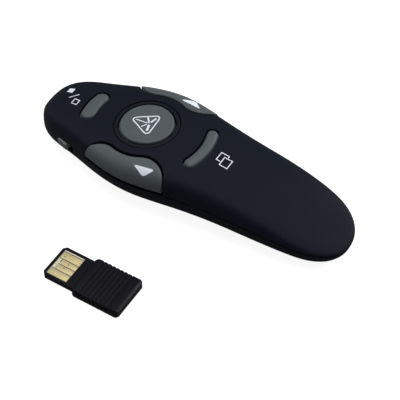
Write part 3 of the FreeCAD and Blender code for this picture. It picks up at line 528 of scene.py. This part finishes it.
FINISHES = {
    "soft_touch": Moulded("Soft touch paint", (0.004, 0.0058, 0.0108), (0.0052, 0.0072, 0.0125),
                          (0.5, 0.62), specular=0.07),
    "ring_gloss": Moulded("Trim ring", (0.004, 0.006, 0.0095), (0.0052, 0.0074, 0.011),
                          (0.42, 0.52), specular=0.09),
    "key_grey": Moulded("Key grey", (0.056, 0.067, 0.074), (0.064, 0.076, 0.083),
                        (0.45, 0.58), specular=0.3),
    "slider_grey": Moulded("Slider grey", (0.15, 0.155, 0.165), (0.17, 0.175, 0.185),
                           (0.45, 0.55), specular=0.4),
    "plated_steel": Moulded("Plated steel", (0.55, 0.55, 0.56), (0.62, 0.62, 0.63),
                            (0.25, 0.4), metallic=1.0),
    "dark_lens": Clear("Dark lens", (0.25, 0.02, 0.03), 0.05),
    "clear_lens": Clear("Clear lens", (0.9, 0.92, 0.95), 0.03),
    "circuit_board": Board("Circuit board", (0.003, 0.02, 0.011), (0.005, 0.03, 0.016), 1.4),
    "receiver_blue_black": Board("Receiver board", (0.55, 0.5, 0.38), (0.75, 0.7, 0.55), 2.4),
    "chip_black": Moulded("Chip black", (0.012, 0.012, 0.013), (0.02, 0.02, 0.021), (0.4, 0.55)),
    "cell_wrap": Banded("Cell sleeve", (0.35, 0.14, 0.04), (0.02, 0.02, 0.022), -8.0, 0.3),
    "spring_nickel": Moulded("Spring nickel", (0.6, 0.58, 0.53), (0.66, 0.64, 0.6),
                             (0.2, 0.3), metallic=1.0),
    "barrel_brass": Moulded("Barrel brass", (0.6, 0.42, 0.18), (0.66, 0.48, 0.22),
                            (0.25, 0.35), metallic=1.0),
    "tinned_wire": Moulded("Tinned wire", (0.6, 0.6, 0.6), (0.7, 0.7, 0.7),
                           (0.25, 0.35), metallic=1.0),
    "receiver_black": Moulded("Receiver black", (0.003, 0.003, 0.006),
                              (0.0042, 0.0042, 0.0074), (0.38, 0.48), specular=0.075),
    "gold_contact": Moulded("Gold contact", (0.5, 0.42, 0.21), (0.56, 0.48, 0.26),
                            (0.45, 0.6), metallic=0.5),
    "switch_case": Moulded("Switch case", (0.03, 0.03, 0.032), (0.04, 0.04, 0.042), (0.4, 0.5)),
    "switch_plunger": Moulded("Switch plunger", (0.5, 0.5, 0.48), (0.56, 0.56, 0.54),
                              (0.4, 0.5)),
}
# Near-black finish of the seam strip: painted shade standing in for the shadow in the gap between
# the housing halves.
PAINTED_SEAM_SHADE = Moulded("Painted seam shade", (0.0008, 0.0009, 0.0011), (0.001, 0.0011, 0.0013), (0.6, 0.7),
                 specular=0.02)
# Lighter finish for the receiver grip's sloped end: a painted highlight where the lamps give too
# little.
PAINTED_END_HIGHLIGHT = Moulded("Receiver end painted highlight", (0.017, 0.018, 0.02), (0.022, 0.023, 0.025), (0.4, 0.5),
                   specular=0.2)
PRINT = Moulded("Printed white", (0.62, 0.66, 0.7), (0.68, 0.72, 0.76), (0.45, 0.55))


def dress(piece: Piece, finish: Finish) -> None:
    """Give a piece one finish and no other."""
    piece.data.materials.clear()
    piece.data.materials.append(finish.material())


def dress_nodes() -> None:
    """Give each CAD node the finish of its slot."""
    for part in frame["record"]["subparts"]:
        dress(frame["nodes"][part["node"]], FINISHES[part["material_slot"]])


def finish_piece(piece: Piece, slot: str, body: str, *nodes: str) -> Piece:
    """Dress a modelled piece, hide the CAD nodes that it replaces and hang it on its body.

    Args:
        piece: The modelled piece.
        slot: Material slot of the record.
        body: Body that it rides on.
        nodes: CAD nodes that it replaces.

    Returns:
        The same piece.
    """
    dress(piece, FINISHES[slot])
    if nodes:
        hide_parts(*nodes)
    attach(piece, body)
    return piece


# Keys

@dataclass
class RingedKey:
    """Key whose top is laid in rings from its rim to a middle line."""

    node: str
    body: str
    centre: Plan = (-17.25, 0.0)
    around: int = 96
    insets: tuple[float, ...] = (0.0, 0.5, 0.9, 1.5, 2.4)
    inner_rings: int = 4
    rim: float = 0.55
    rim_steps: int = 5
    skirt: float = 1.4
    rim_fall: float = 0.0
    lift: float = 0.0
    pull: float = 0.06
    sharp: float = 45.0
    crisp: float = 40.0

    def outline(self, share: float) -> tuple[Vector, Vector]:
        """Point of the rim and the point of the middle line that it belongs to.

        Args:
            share: Way round the rim, from 0 to 1.

        Returns:
            Both plan points.
        """
        raise NotImplementedError

    def build(self) -> Piece:
        """Lay the top, drop its skirt, round its rim and add what is under it.

        Returns:
            The finished key.
        """
        rings = len(self.insets) + self.inner_rings - 1

        def place(share: float, depth: float) -> Vector:
            """Place a point of the top, read a little inside the rim.

            Args:
                share: Way round.
                depth: Way in.

            Returns:
                The point.
            """
            edge, middle = self.outline(share % 1.0)
            reach = (middle - edge).length
            ring = round(depth * rings)
            if ring < len(self.insets):
                way = self.insets[ring] / reach
            else:
                start = self.insets[-1] / reach
                way = start + (1.0 - start) * (ring - len(self.insets) + 1) / self.inner_rings
            way = min(way, 1.0)
            at = edge.lerp(middle, way)
            inward = middle - at
            seen = at + inward.normalized() * min(self.pull, inward.length)
            point = met(self.node, Vector((*seen, LOOK)), -UP)
            if point is None:
                raise ValueError(f"{self.node} has no top at {tuple(at)}")
            return Vector((*at, point.z + self.lift - self.rim_fall * (1.0 - way) ** 2))

        piece = sheet(self.node + "_cap", self.around, rings, place, UP)
        foot = min(vertex.co.z for vertex in piece.data.vertices) / MM - self.skirt
        self.drop_skirt(piece, foot)
        round_sharp(piece, self.sharp, self.rim, self.rim_steps)
        smooth(piece, self.crisp)
        under = kept_under(self.node, foot + self.skirt / 2)
        return finish_piece(joined(piece, under), "key_grey", self.body, self.node)

    def drop_skirt(self, piece: Piece, foot: float) -> None:
        """Extrude the rim down to a flat foot and close it.

        Args:
            piece: The open top.
            foot: Height of the foot.
        """
        with editing(piece, "DESELECT"):
            bpy.ops.mesh.select_mode(type="EDGE")
            bpy.ops.mesh.select_non_manifold()
            bpy.ops.mesh.extrude_edges_move()
        for vertex in piece.data.vertices:
            if vertex.select:
                vertex.co.z = foot * MM
        with editing(piece, None):
            bpy.ops.mesh.edge_face_add()


@dataclass
class RoundKey(RingedKey):
    """Round thumb key."""

    radius: float = 8.66
    insets: tuple[float, ...] = (0.0, 0.7, 1.1, 1.7, 2.6)
    inner_rings: int = 6

    def outline(self, share: float) -> tuple[Vector, Vector]:
        """Point of the circle, and its centre."""
        turn, middle = math.tau * share, Vector(self.centre)
        return middle + Vector((math.cos(turn), math.sin(turn))) * self.radius, middle


@dataclass
class BarKey(RingedKey):
    """Bowed bar key with round ends, bent about the thumb key."""

    arc_radius: float = 20.1
    half_angle: float = 10.8
    half_width: float = 2.42
    middle_angle: float = 180.0
    side_steps: int = 36
    end_steps: int = 12
    insets: tuple[float, ...] = (0.0, 0.65, 0.9, 1.3)
    inner_rings: int = 2
    rim: float = 0.6
    rim_fall: float = 0.45
    lift: float = 0.2

    def outline(self, share: float) -> tuple[Vector, Vector]:
        """Point of the bar's rim, and its foot on the bar's middle arc.

        Args:
            share: Way round the rim, from 0 to 1.

        Returns:
            Both plan points.
        """
        bend = math.radians(self.half_angle)
        half = self.side_steps + self.end_steps
        step = round(share * 2 * half)
        sign = 1.0 if step < half else -1.0
        step = step % half
        along = min(2.0 * step / self.side_steps - 1.0, 1.0)
        lean = math.pi * max(step - self.side_steps, 0) / self.end_steps
        turn = math.radians(self.middle_angle) + sign * along * bend
        out = Vector((math.cos(turn), math.sin(turn)))
        across = Vector((-out.y, out.x)) * sign
        middle = Vector(self.centre) + out * self.arc_radius
        facing = out * (sign * math.cos(lean)) + across * math.sin(lean)
        return middle + facing * self.half_width, middle


@dataclass
class WingKey:
    """Page key that wraps over the shoulder of the housing, with its two turns in radians."""

    node: str
    body: str
    side: Side
    nose: float = -30.05
    tail: float = -1.2
    aim: float = 8.0
    columns: int = 84
    top_turn: float = 0.024
    foot_turn: float = 0.01
    skirt: float = 1.5
    wall: float = 1.5
    rim: float = 0.55
    rim_steps: int = 5
    insets: tuple[float, ...] = (0.8, 1.2, 1.9)
    inner_rings: int = 8
    end_reach: float = 4.5
    scale: float = 12.0
    flange_top: float = 17.3
    skin_foot: float = 13.55
    under_scale: Point = (0.985, 0.985, 1.0)
    under_middle: Plan = (-15.6, 10.8)
    first_look: float = 17.2
    look_step: float = 0.25
    looks: int = 160
    over_top: float = 89.0
    halvings: int = 14
    crisp: float = 50.0

    def skin(self, x: float, turn: float) -> Vector | None:
        """Outer point of the CAD key seen across the body at an angle, or None past its edges."""
        away = Vector((0.0, self.side.value * math.cos(turn), math.sin(turn)))
        return met(self.node, Vector((x, 0.0, self.aim)) + away * LOOK, -away)

    def span(self, x: float) -> Pair:
        """Upper and lower angle of the key at a place along the body.

        Args:
            x: Place along the body.

        Returns:
            Both angles, a little inside the CAD key's edges.
        """
        turns = [math.radians(self.first_look + self.look_step * step)
                 for step in range(self.looks)]
        first = next((turn for turn in turns if self.skin(x, turn)), None)
        if first is None:
            raise ValueError(f"{self.node} isn't seen at {x}")
        ends = []
        for unseen in (math.radians(self.over_top), 0.0):
            seen = first
            for _ in range(self.halvings):
                middle = (seen + unseen) / 2
                if self.skin(x, middle):
                    seen = middle
                else:
                    unseen = middle
            ends.append(seen)
        return ends[0] - self.top_turn, ends[1] + self.foot_turn

    def build(self) -> Piece:
        """Lay the outer face in rings from its rolled rim, and close it behind.

        Returns:
            The finished key.
        """
        rings = self.rings()
        span = cache(self.span)

        def place(share: float, depth: float) -> Vector:
            """Place a point of the key.

            Args:
                share: Way round its rim.
                depth: Way in.

            Returns:
                The point.
            """
            step = round(share * 2 * self.columns) % (2 * self.columns)
            way = step / self.columns
            x = self.nose + (self.tail - self.nose) * (1.0 - math.cos(math.pi * way)) / 2.0
            turn = span(x)[0 if way <= 1.0 else 1]
            middle_x = min(max(x, self.nose + self.end_reach), self.tail - self.end_reach)
            middle_turn = sum(span(middle_x)) / 2.0
            reach = math.hypot(middle_x - x, (middle_turn - turn) * self.scale)
            inset, drop, inner = rings[round(depth * (len(rings) - 1))]
            part = inset / reach
            part = min(part + (1.0 - part) * inner, 1.0)
            seen_at = turn + (middle_turn - turn) * part
            point = self.skin(x + (middle_x - x) * part, seen_at)
            if point is None:
                raise ValueError(f"{self.node} has a gap at {x}")
            lean = math.radians(45.0 if way in (0.0, 1.0) else (90.0 if way < 1.0 else 0.0))
            lean += (seen_at - lean) * part
            return point - Vector((0.0, self.side.value * math.cos(lean), math.sin(lean))) * drop

        piece = sheet(self.node + "_cap", 2 * self.columns, len(rings) - 1, place,
                      Vector((0.0, self.side.value, 1.0)))
        make_outward(piece)
        smooth(piece, self.crisp)
        under = kept_under(self.node, self.flange_top)
        trim(under, UP * self.skin_foot, -UP)
        activate(under)
        middle = Vector((self.under_middle[0], self.under_middle[1] * self.side.value, 0.0))
        bpy.ops.transform.resize(value=self.under_scale, center_override=tuple(middle * MM))
        settle(under)
        return finish_piece(joined(piece, under), "key_grey", self.body, self.node)

    def rings(self) -> list[tuple[float, float, float]]:
        """Rings from the middle of the inner face, round the rim, to the middle outside.

        Returns:
            Inset and drop, and the share of the rest of the way in.
        """
        rings = [(self.insets[0], self.wall, 1.0 - step / self.inner_rings)
                 for step in range(self.inner_rings + 1)]
        rings.append((0.0, self.skirt, 0.0))
        rings += [(inset, drop, 0.0) for inset, drop in rolled(self.rim, self.rim_steps)]
        rings += [(inset, 0.0, 0.0) for inset in self.insets]
        rings += [(self.insets[-1], 0.0, (step + 1) / self.inner_rings)
                  for step in range(self.inner_rings)]
        return rings


@dataclass
class TrimRing:
    """Ring round the thumb key, with rolled edges."""

    node: str = "bezel_ring"
    centre: Plan = (-17.25, 0.0)
    outer: float = 10.46
    inner: float = 9.25
    depth: float = 1.2
    rim: float = 0.34
    steps: int = 5
    around: int = 120
    sink: float = 0.02
    inside: float = 0.08
    crisp: float = 50.0

    def build(self) -> Piece:
        """Sweep the section round the key, draped on the crown.

        Returns:
            The finished ring.
        """
        rim = rolled(self.rim, self.steps)
        profile = ([(self.outer, self.depth)]
                   + [(self.outer - inset, drop) for inset, drop in rim]
                   + [(self.inner + inset, drop) for inset, drop in rim[::-1]]
                   + [(self.inner, self.depth), (self.outer, self.depth)])
        centre = Vector(self.centre)

        def place(share: float, along: float) -> Vector:
            """Place a point of the ring.

            Args:
                share: Way round.
                along: Way over its section.

            Returns:
                The point.
            """
            turn = math.tau * (share % 1.0)
            radius, drop = profile[round(along * (len(profile) - 1))]
            out = Vector((math.cos(turn), math.sin(turn)))
            read = min(max(radius, self.inner + self.inside), self.outer - self.inside)
            crown = met(self.node, Vector((*(centre + out * read), LOOK)), -UP).z
            return Vector((*(centre + out * radius), crown - drop - self.sink))

        piece = sheet("trim_ring", self.around, len(profile) - 1, place, UP)
        make_outward(piece)
        smooth(piece, self.crisp)
        return finish_piece(piece, "ring_gloss", "housing", self.node)


# Seam between the housing halves, drawn as a strip of painted shade

@dataclass
class PartingLine:
    """Strip of painted shade along the seam between the housing halves, open at the slider's slot;
    its near-black colour stands in for the shadow in the gap.
    """

    half_length: float = 55.4
    half_width: float = 19.4
    axis_share: float = 0.8
    axis_end: float = 36.0
    slot: Pair = (-43.15, -35.95)
    upper_from: float = 12.0
    steps: int = 220
    low_start: float = 4.0
    high_start: float = 13.6
    stride: float = 0.2
    halvings: int = 6
    jump: float = 0.4
    half_height: float = 0.17
    middle: float = 0.075
    proud: float = 0.03
    depth: float = 0.4
    crisp: float = 40.0

    def edge(self, turn: float) -> tuple[Vector, Vector]:
        """Outer edge of a housing half at the parting.

        Args:
            turn: Way round the body from the nose over the near side.

        Returns:
            The point, and the way out from it.
        """
        rim = Vector((-math.cos(turn) * self.half_length, -math.sin(turn) * self.half_width, 0.0))
        axis = max(-self.axis_end, min(self.axis_end, rim.x * self.axis_share))
        start = Vector((axis, 0.0, 0.0))
        out = (rim - start).normalized()
        upper = rim.x > self.upper_from
        node = "upper_shell" if upper else "lower_shell"
        height = self.high_start if upper else self.low_start
        stride = -self.stride if upper else self.stride
        last = None
        while last is None or abs(stride) > self.stride / 2 ** self.halvings:
            point = met(node, start + out * LOOK + UP * (height + stride), -out)
            found = (point.xy - start.xy).length if point else 0.0
            if point and (last is None or found > last - self.jump):
                height, last = height + stride, found
            elif last is None:
                height += stride
            else:
                stride /= 2
        return start + out * last + UP * (height + math.copysign(self.middle, stride)), out

    def build(self) -> Piece:
        """Run the strip of painted seam shade round the body.

        Returns:
            The finished strip of painted shade.
        """
        first, last = [math.acos(-x / self.half_length) for x in self.slot]
        span = math.tau - (last - first)
        low, high = -self.half_height, self.half_height
        section = ((self.proud, low), (self.proud, high), (-self.depth, high),
                   (-self.depth, low), (self.proud, low))
        edge = cache(self.edge)

        def place(share: float, along: float) -> Vector:
            """Place a point of the strip.

            Args:
                share: Way round the body.
                along: Way round its section.

            Returns:
                The point.
            """
            spot, out = edge(last + span * round(share * self.steps) / self.steps)
            across, rise = section[round(along * (len(section) - 1))]
            return spot + out * across + UP * rise

        piece = sheet("parting_line_painted_shade", self.steps, len(section) - 1, place, UP)
        with editing(piece):
            bpy.ops.mesh.fill_holes(sides=len(section))
        make_outward(piece)
        smooth(piece, self.crisp)
        # The near-black finish paints the shade of the seam's gap.
        dress(piece, PAINTED_SEAM_SHADE)
        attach(piece, "housing")
        return piece


# Receiver and slider

@dataclass
class Receiver:
    """USB receiver: ribbed grip, open tongue, and what lies in the tongue's well."""

    tip: Plan = (-20.6, -49.25)
    turn: float = -1.0
    length: float = 28.3
    height: float = 3.2
    end_slope: float = 0.8
    highlight_aim: float = 0.985
    grip_edge: float = 0.14
    tongue_edge: float = 0.16
    tongue_corner: float = 1.0
    tongue_low: Point = (0.0, -6.15, 0.4)
    tongue_high: Point = (16.3, 6.15, 2.4)
    well_low: Point = (0.95, -5.2, 1.2)
    well_high: Point = (8.35, 5.2, 2.8)
    segments: int = 3
    sharp: float = 25.0

    def spot(self, x: float, z: float) -> Vector:
        """Place on the receiver's middle line, by its way from the tip and its height."""
        turn = math.radians(self.turn)
        return Vector((self.tip[0] + x * math.cos(turn), self.tip[1] + x * math.sin(turn), z))

    def grip(self) -> Piece:
        """Slope the grip's tail end, round its edges and paint a highlight on the sloped end.

        Returns:
            The finished grip.
        """
        piece = merged_copy("receiver_housing", "receiver_grip", flat=True)
        away = self.spot(1.0, 0.0) - self.spot(0.0, 0.0)
        trim(piece, self.spot(self.length - self.end_slope, self.height), away + UP)
        round_sharp(piece, self.sharp, self.grip_edge, self.segments)
        smooth(piece)
        finish_piece(piece, "receiver_black", "receiver", "receiver_housing")
        # The sloped end's faces take a lighter finish, as a painted highlight.
        piece.data.materials.append(PAINTED_END_HIGHLIGHT.material())
        sloped = (away + UP).normalized()
        for face in piece.data.polygons:
            if face.normal.dot(sloped) > self.highlight_aim:
                face.material_index = 1
        return piece

    def block(self, name: str, low: Point, high: Point) -> Piece:
        """Add a block in the receiver's own frame.

        Args:
            name: Name of the new piece.
            low: Its least corner.
            high: Its greatest corner.

        Returns:
            The block, not yet laid at its place.
        """
        deselect()
        bpy.ops.mesh.primitive_cube_add(
            size=1.0, location=tuple((a + b) / 2 * MM for a, b in zip(low, high)))
        piece = named(name)
        piece.scale = [(b - a) * MM for a, b in zip(low, high)]
        return settle(piece)

    def lay(self, piece: Piece) -> None:
        """Turn and move a piece from the receiver's own frame to its place.

        Args:
            piece: The piece.
        """
        piece.rotation_euler.z = math.radians(self.turn)
        piece.location = self.spot(0.0, 0.0) * MM
        settle(piece)

    def tongue(self) -> Piece:
        """Chamfer the tongue's tip, round its edges and cut its well.

        Returns:
            The finished tongue.
        """
        piece = self.block("receiver_open_tongue", self.tongue_low, self.tongue_high)
        for item in (*piece.data.vertices, *piece.data.polygons):
            item.select = False
        for edge in piece.data.edges:
            ends = [piece.data.vertices[count].co for count in edge.vertices]
            edge.select = all(end.x < TOUCH_GAP * MM for end in ends) and ends[0].y == ends[1].y
        with editing(piece, None):
            bpy.ops.mesh.select_mode(type="EDGE")
            bpy.ops.mesh.bevel(offset=self.tongue_corner * MM, segments=1, affect="EDGES")
        round_sharp(piece, self.sharp, self.tongue_edge, self.segments)
        well = self.block("well_cutter", self.well_low, self.well_high)
        finish_with(piece, "BOOLEAN", operation="DIFFERENCE", solver="EXACT", object=well)
        activate(well)
        bpy.ops.object.delete()
        smooth(piece)
        self.lay(piece)
        return finish_piece(piece, "receiver_black", "receiver", "receiver_tongue")


@dataclass
class Slip:
    """Thin flat block in the receiver's own frame."""

    name: str
    slot: str
    low: Point
    high: Point
    edge: float = 0.0
    replaced: tuple[str, ...] = ()
    segments: int = 2
    sharp: float = 30.0

    def build(self, receiver: Receiver) -> Piece:
        """Add the block at its place and size, with soft upright corners.

        Args:
            receiver: The receiver that it lies on.

        Returns:
            The finished block.
        """
        piece = receiver.block(self.name, self.low, self.high)
        if self.edge:
            round_sharp(piece, self.sharp, self.edge, self.segments)
        smooth(piece)
        receiver.lay(piece)
        return finish_piece(piece, self.slot, "receiver", *self.replaced)


@dataclass
class WellFloor:
    """Board face in the tongue's well, with contact strips, mask lines and vias."""

    floor: float = 2.0
    face: float = 0.05
    strip_top: float = 0.12
    mask_top: float = 0.1
    front: float = 0.97
    back: float = 8.32
    half: float = 5.17
    strip_back: float = 8.25
    strips: tuple[tuple[float, float, float], ...] = (
        (1.15, 1.98, 4.42), (2.35, -0.18, 1.62), (2.35, -2.34, -0.54), (1.15, -4.95, -2.7))
    masks: tuple[tuple[float, float, float, float], ...] = (
        (1.3, 8.25, 4.48, 4.66), (1.3, 8.25, 1.7, 1.9), (1.9, 8.25, -0.46, -0.26),
        (1.3, 8.25, -2.62, -2.42), (2.1, 2.28, 0.2, 1.7), (2.1, 2.28, -2.3, -0.9))
    vias: tuple[Plan, ...] = ((2.3, 2.9), (5.1, 0.8), (4.6, -0.95), (7.8, 2.95))
    via: Pair = (0.26, 0.182)
    via_rise: float = 0.01
    via_edge: float = 0.04
    strip_edge: float = 0.05
    gap: float = 0.005

    def build(self, receiver: Receiver) -> list[Piece]:
        """Lay everything that shows in the well.

        Args:
            receiver: The receiver that it lies on.

        Returns:
            The finished pieces.
        """
        low, strip, mask = (self.floor + rise
                            for rise in (self.gap, self.strip_top, self.mask_top))
        slips = [Slip("board_face", "receiver_blue_black", (self.front, -self.half, low),
                      (self.back, self.half, self.floor + self.face))]
        slips += [Slip(f"contact_strip_{count}", "gold_contact", (front, near, low),
                       (self.strip_back, far, strip), self.strip_edge, ("receiver_contacts",))
                  for count, (front, near, far) in enumerate(self.strips, 1)]
        slips += [Slip(f"mask_line_{count}", "chip_black", (front, near, low), (back, far, mask))
                  for count, (front, back, near, far) in enumerate(self.masks, 1)]
        long, wide = self.via
        slips += [Slip(f"via_{count}", "chip_black", (x - long, y - wide, low),
                       (x + long, y + wide, strip + self.via_rise), self.via_edge)
                  for count, (x, y) in enumerate(self.vias, 1)]
        return [slip.build(receiver) for slip in slips]


@dataclass
class PowerKnob:
    """Ribbed slider in the seam."""

    edge: float = 0.1
    segments: int = 3
    sharp: float = 30.0

    def build(self) -> Piece:
        """Round the edges of the knob and its ribs.

        Returns:
            The finished slider.
        """
        piece = merged_copy("power_slider", "power_knob", flat=True)
        round_sharp(piece, self.sharp, self.edge, self.segments)
        smooth(piece)
        return finish_piece(piece, "slider_grey", "slider", "power_slider")


# Printed icons

def stroke(path: tuple[Plan, ...], width: float) -> tuple[Plan, ...]:
    """Outline of an open line with square ends and mitred bends.

    Args:
        path: Plan points along the middle of the line.
        width: Width of the line.

    Returns:
        Corners along one side and back along the other.
    """
    points = [Vector(point) for point in path]
    ways = [(b - a).normalized() for a, b in zip(points, points[1:])]
    near, far = [], []
    for count, point in enumerate(points):
        before = ways[max(count - 1, 0)]
        after = ways[min(count, len(ways) - 1)]
        bisector = (before + after).normalized()
        across = Vector((-bisector.y, bisector.x))
        reach = width / 2 / max(across.dot(Vector((-after.y, after.x))), LEAST_MITRE)
        near.append(tuple(point + across * reach))
        far.append(tuple(point - across * reach))
    return tuple(near + far[::-1])


@dataclass
class Icon:
    """One printed mark, drawn in plan and draped on the piece that carries it."""

    name: str
    corners: tuple[Plan, ...]
    body: str = "housing"
    carrier: str = "upper_shell"
    line: float = 0.0
    rounding: float = 0.0
    lift: float = 0.015
    thickness: float = 0.05
    start_height: float = 30.0
    cuts: int = 3
    bends: int = 6

    def build(self) -> Piece:
        """Draw the mark, as a face or a line, drape it and give it its thickness.

        Returns:
            The finished mark.
        """
        deselect()
        bpy.ops.mesh.primitive_circle_add(vertices=len(self.corners), radius=MM,
                                          fill_type="NGON")
        piece = named(self.name)
        for vertex, corner in zip(piece.data.vertices, self.corners):
            vertex.co = Vector((*corner, self.start_height)) * MM
        with editing(piece):
            if self.rounding:
                bpy.ops.mesh.bevel(offset=self.rounding * MM, segments=self.bends,
                                   affect="VERTICES")
            if self.line:
                bpy.ops.mesh.select_all(action="SELECT")
                bpy.ops.mesh.inset(thickness=self.line * MM)
                bpy.ops.mesh.delete(type="FACE")
            bpy.ops.mesh.select_all(action="SELECT")
            bpy.ops.mesh.quads_convert_to_tris()
            bpy.ops.mesh.subdivide(number_cuts=self.cuts)
        finish_with(piece, "SHRINKWRAP", wrap_method="PROJECT", use_project_z=True,
                    use_negative_direction=True, use_positive_direction=False,
                    target=frame["nodes"][self.carrier], offset=self.lift * MM)
        finish_with(piece, "SOLIDIFY", thickness=self.thickness * MM, offset=0.0)
        make_outward(piece)
        dress(piece, PRINT)
        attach(piece, self.body)
        return piece


@dataclass
class Icons:
    """All the printed marks of the housing and its keys."""

    rays: tuple[tuple[Plan, Plan, float], ...] = (
        ((-21.2, -0.25), (-17.2, 0.14), 0.34), ((-18.3, 2.3), (-16.75, 0.4), 0.55),
        ((-15.8, 3.2), (-16.4, 1.0), 0.55), ((-15.6, -2.8), (-16.34, -0.2), 0.7),
        ((-18.1, -2.1), (-17.05, -0.4), 0.34))
    square_line: float = 0.3

    def build(self) -> list[Piece]:
        """Print every mark.

        Returns:
            The finished marks, in the order in which they are printed.
        """
        marks = [
            Icon("blank_icon_square",
                 ((-49.5, 2.2), (-49.35, 4.1), (-47.5, 4.25), (-47.4, 2.1))),
            Icon("blank_icon_slash", stroke(((-46.95, -0.2), (-44.55, 2.25)), 0.28)),
            Icon("blank_icon_frame",
                 ((-44.85, -2.3), (-44.85, 0.1), (-42.65, -0.05), (-42.6, -2.45)),
                 line=self.square_line),
            Icon("window_icon_back",
                 stroke(((10.2, -1.25), (8.72, -1.25), (8.8, 2.05), (11.5, 2.05), (11.5, 1.2)),
                        self.square_line)),
            Icon("window_icon_front", ((10.39, -2.64), (10.35, 1.05), (13.44, 1.1), (13.4, -2.66)),
                 line=self.square_line),
            Icon("laser_icon_frame", ((-23.4, -0.4), (-14.75, 5.35), (-14.25, -4.95)),
                 "laser_button", "laser_key", line=0.4, rounding=2.2),
            Icon("near_triangle", ((-12.2, -16.2), (-4.95, -14.95), (-7.5, -18.1)),
                 "next_button", "next_key", rounding=1.15),
            Icon("far_triangle", ((-13.8, 14.8), (-9.6, 17.4), (-6.3, 14.2)),
                 "previous_button", "previous_key", rounding=0.9),
        ]
        marks += [Icon(f"laser_icon_ray_{count}", stroke((tip, foot), width),
                       "laser_button", "laser_key")
                  for count, (tip, foot, width) in enumerate(self.rays, 1)]
        return [mark.build() for mark in marks]


# Studio

@dataclass(frozen=True)
class Lamp:
    """Square soft lamp that faces the object, in watts and metres."""

    name: str
    power: float
    size: float
    place: Point

    def hang(self) -> None:
        """Add the lamp to the scene."""
        data = bpy.data.lights.new(self.name, "AREA")
        data.energy = self.power
        data.size = self.size
        lamp = bpy.data.objects.new(self.name, data)
        bpy.context.scene.collection.objects.link(lamp)
        lamp.location = self.place
        lamp.rotation_euler = Vector(self.place).to_track_quat("Z", "Y").to_euler()


@dataclass
class Studio:
    """White floor, soft lamps and the photograph's camera."""

    target: Point = (12.96, -18.12, 19.22)
    distance: float = 452.19
    elevation: float = 49.45
    azimuth: float = 30.60
    roll: float = 0.31
    lens: float = 135.0
    sensor: float = 36.0
    floor_size: float = 3.0
    floor_drop: float = 0.02
    ambient: float = 0.22
    lamps: tuple[Lamp, ...] = (Lamp("overhead", 3.5, 0.6, (0.02, 0.06, 0.66)),
                               Lamp("rim", 2.2, 0.3, (0.32, 0.48, 0.22)),
                               Lamp("side", 0.85, 0.35, (-0.46, -0.01, 0.34)))
    floor_colour: Colour = (0.3, 0.3, 0.3)
    floor_glow: float = 0.9
    floor_mottle: float = 0.01

    def camera(self) -> None:
        """Place the camera as the photograph's was."""
        low = math.radians(self.elevation)
        turn = math.radians(self.azimuth)
        back = Vector((math.sin(turn) * math.cos(low), -math.cos(turn) * math.cos(low),
                       math.sin(low)))
        data = bpy.data.cameras.new("camera")
        data.lens = self.lens
        data.sensor_width = self.sensor
        data.clip_start = 0.01
        camera = bpy.data.objects.new("camera", data)
        bpy.context.scene.collection.objects.link(camera)
        camera.location = (Vector(self.target) + back * self.distance) * MM
        facing = back.to_track_quat("Z", "Y").to_matrix().to_4x4()
        turned = facing @ facing.Rotation(math.radians(self.roll), 4, "Z")
        camera.rotation_euler = turned.to_euler()
        bpy.context.scene.camera = camera

    def world(self) -> None:
        """Light evenly from all round, and show plain white to the camera."""
        world = bpy.data.worlds.new("studio")
        world.use_nodes = True
        bpy.context.scene.world = world
        shader = Shader(world.node_tree)
        background = next(node for node in world.node_tree.nodes if node.type == "BACKGROUND")
        path = shader.add("LightPath")
        strength = shader.add("Mix", data_type="FLOAT")
        strength.inputs[2].default_value = self.ambient
        strength.inputs[3].default_value = 1.0
        fill(background, Color=(1.0, 1.0, 1.0))
        shader.join(path.outputs["Is Camera Ray"], strength.inputs[0])
        shader.join(strength.outputs[0], background.inputs["Strength"])

    def floor(self) -> None:
        """Lay a grey floor under the object that the camera sees as white."""
        deselect()
        bpy.ops.mesh.primitive_plane_add(size=self.floor_size,
                                         location=(0.0, 0.0, -self.floor_drop * MM))
        floor = settle(named("floor"))
        material, shader, principled = new_material("White floor")
        shader.mottle(principled, scale=6.0, low=self.floor_colour,
                      high=tuple(part + self.floor_mottle for part in self.floor_colour))
        fill(principled, Roughness=0.9, Specular_IOR_Level=0.1, Emission_Color=(1.0, 1.0, 1.0))
        path = shader.add("LightPath")
        glow = shader.add("Math", operation="MULTIPLY")
        glow.inputs[1].default_value = self.floor_glow
        shader.join(path.outputs["Is Camera Ray"], glow.inputs[0])
        shader.join(glow.outputs[0], principled.inputs["Emission Strength"])
        floor.data.materials.append(material)

    def build(self) -> None:
        """Set up the floor, the light, the view and the camera."""
        self.floor()
        self.world()
        for lamp in self.lamps:
            lamp.hang()
        self.camera()
        bpy.context.scene.view_settings.view_transform = "Standard"


def main() -> None:
    """Build the pieces in order."""
    logging.basicConfig(level=logging.INFO, format="%(message)s")
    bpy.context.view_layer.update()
    dress_nodes()
    LOG.info("finishes on %d nodes", len(frame["nodes"]))
    keys = (RoundKey("laser_key", "laser_button"),
            BarKey("blank_key", "blank_button"),
            BarKey("window_key", "window_button", arc_radius=21.05, half_angle=19.4,
                   half_width=1.74, middle_angle=0.0, side_steps=52, around=128),
            WingKey("next_key", "next_button", Side.NEAR),
            WingKey("previous_key", "previous_button", Side.FAR), TrimRing())
    made = [key.build() for key in keys]
    receiver = Receiver()
    made += [receiver.grip(), receiver.tongue(), PowerKnob().build()]
    made += [*WellFloor().build(receiver), PartingLine().build(), *Icons().build()]
    for piece in made:
        LOG.info("%s with %d faces", piece.name, len(piece.data.polygons))
    Studio().build()
    LOG.info("studio")


if __name__ == "__main__":
    main()
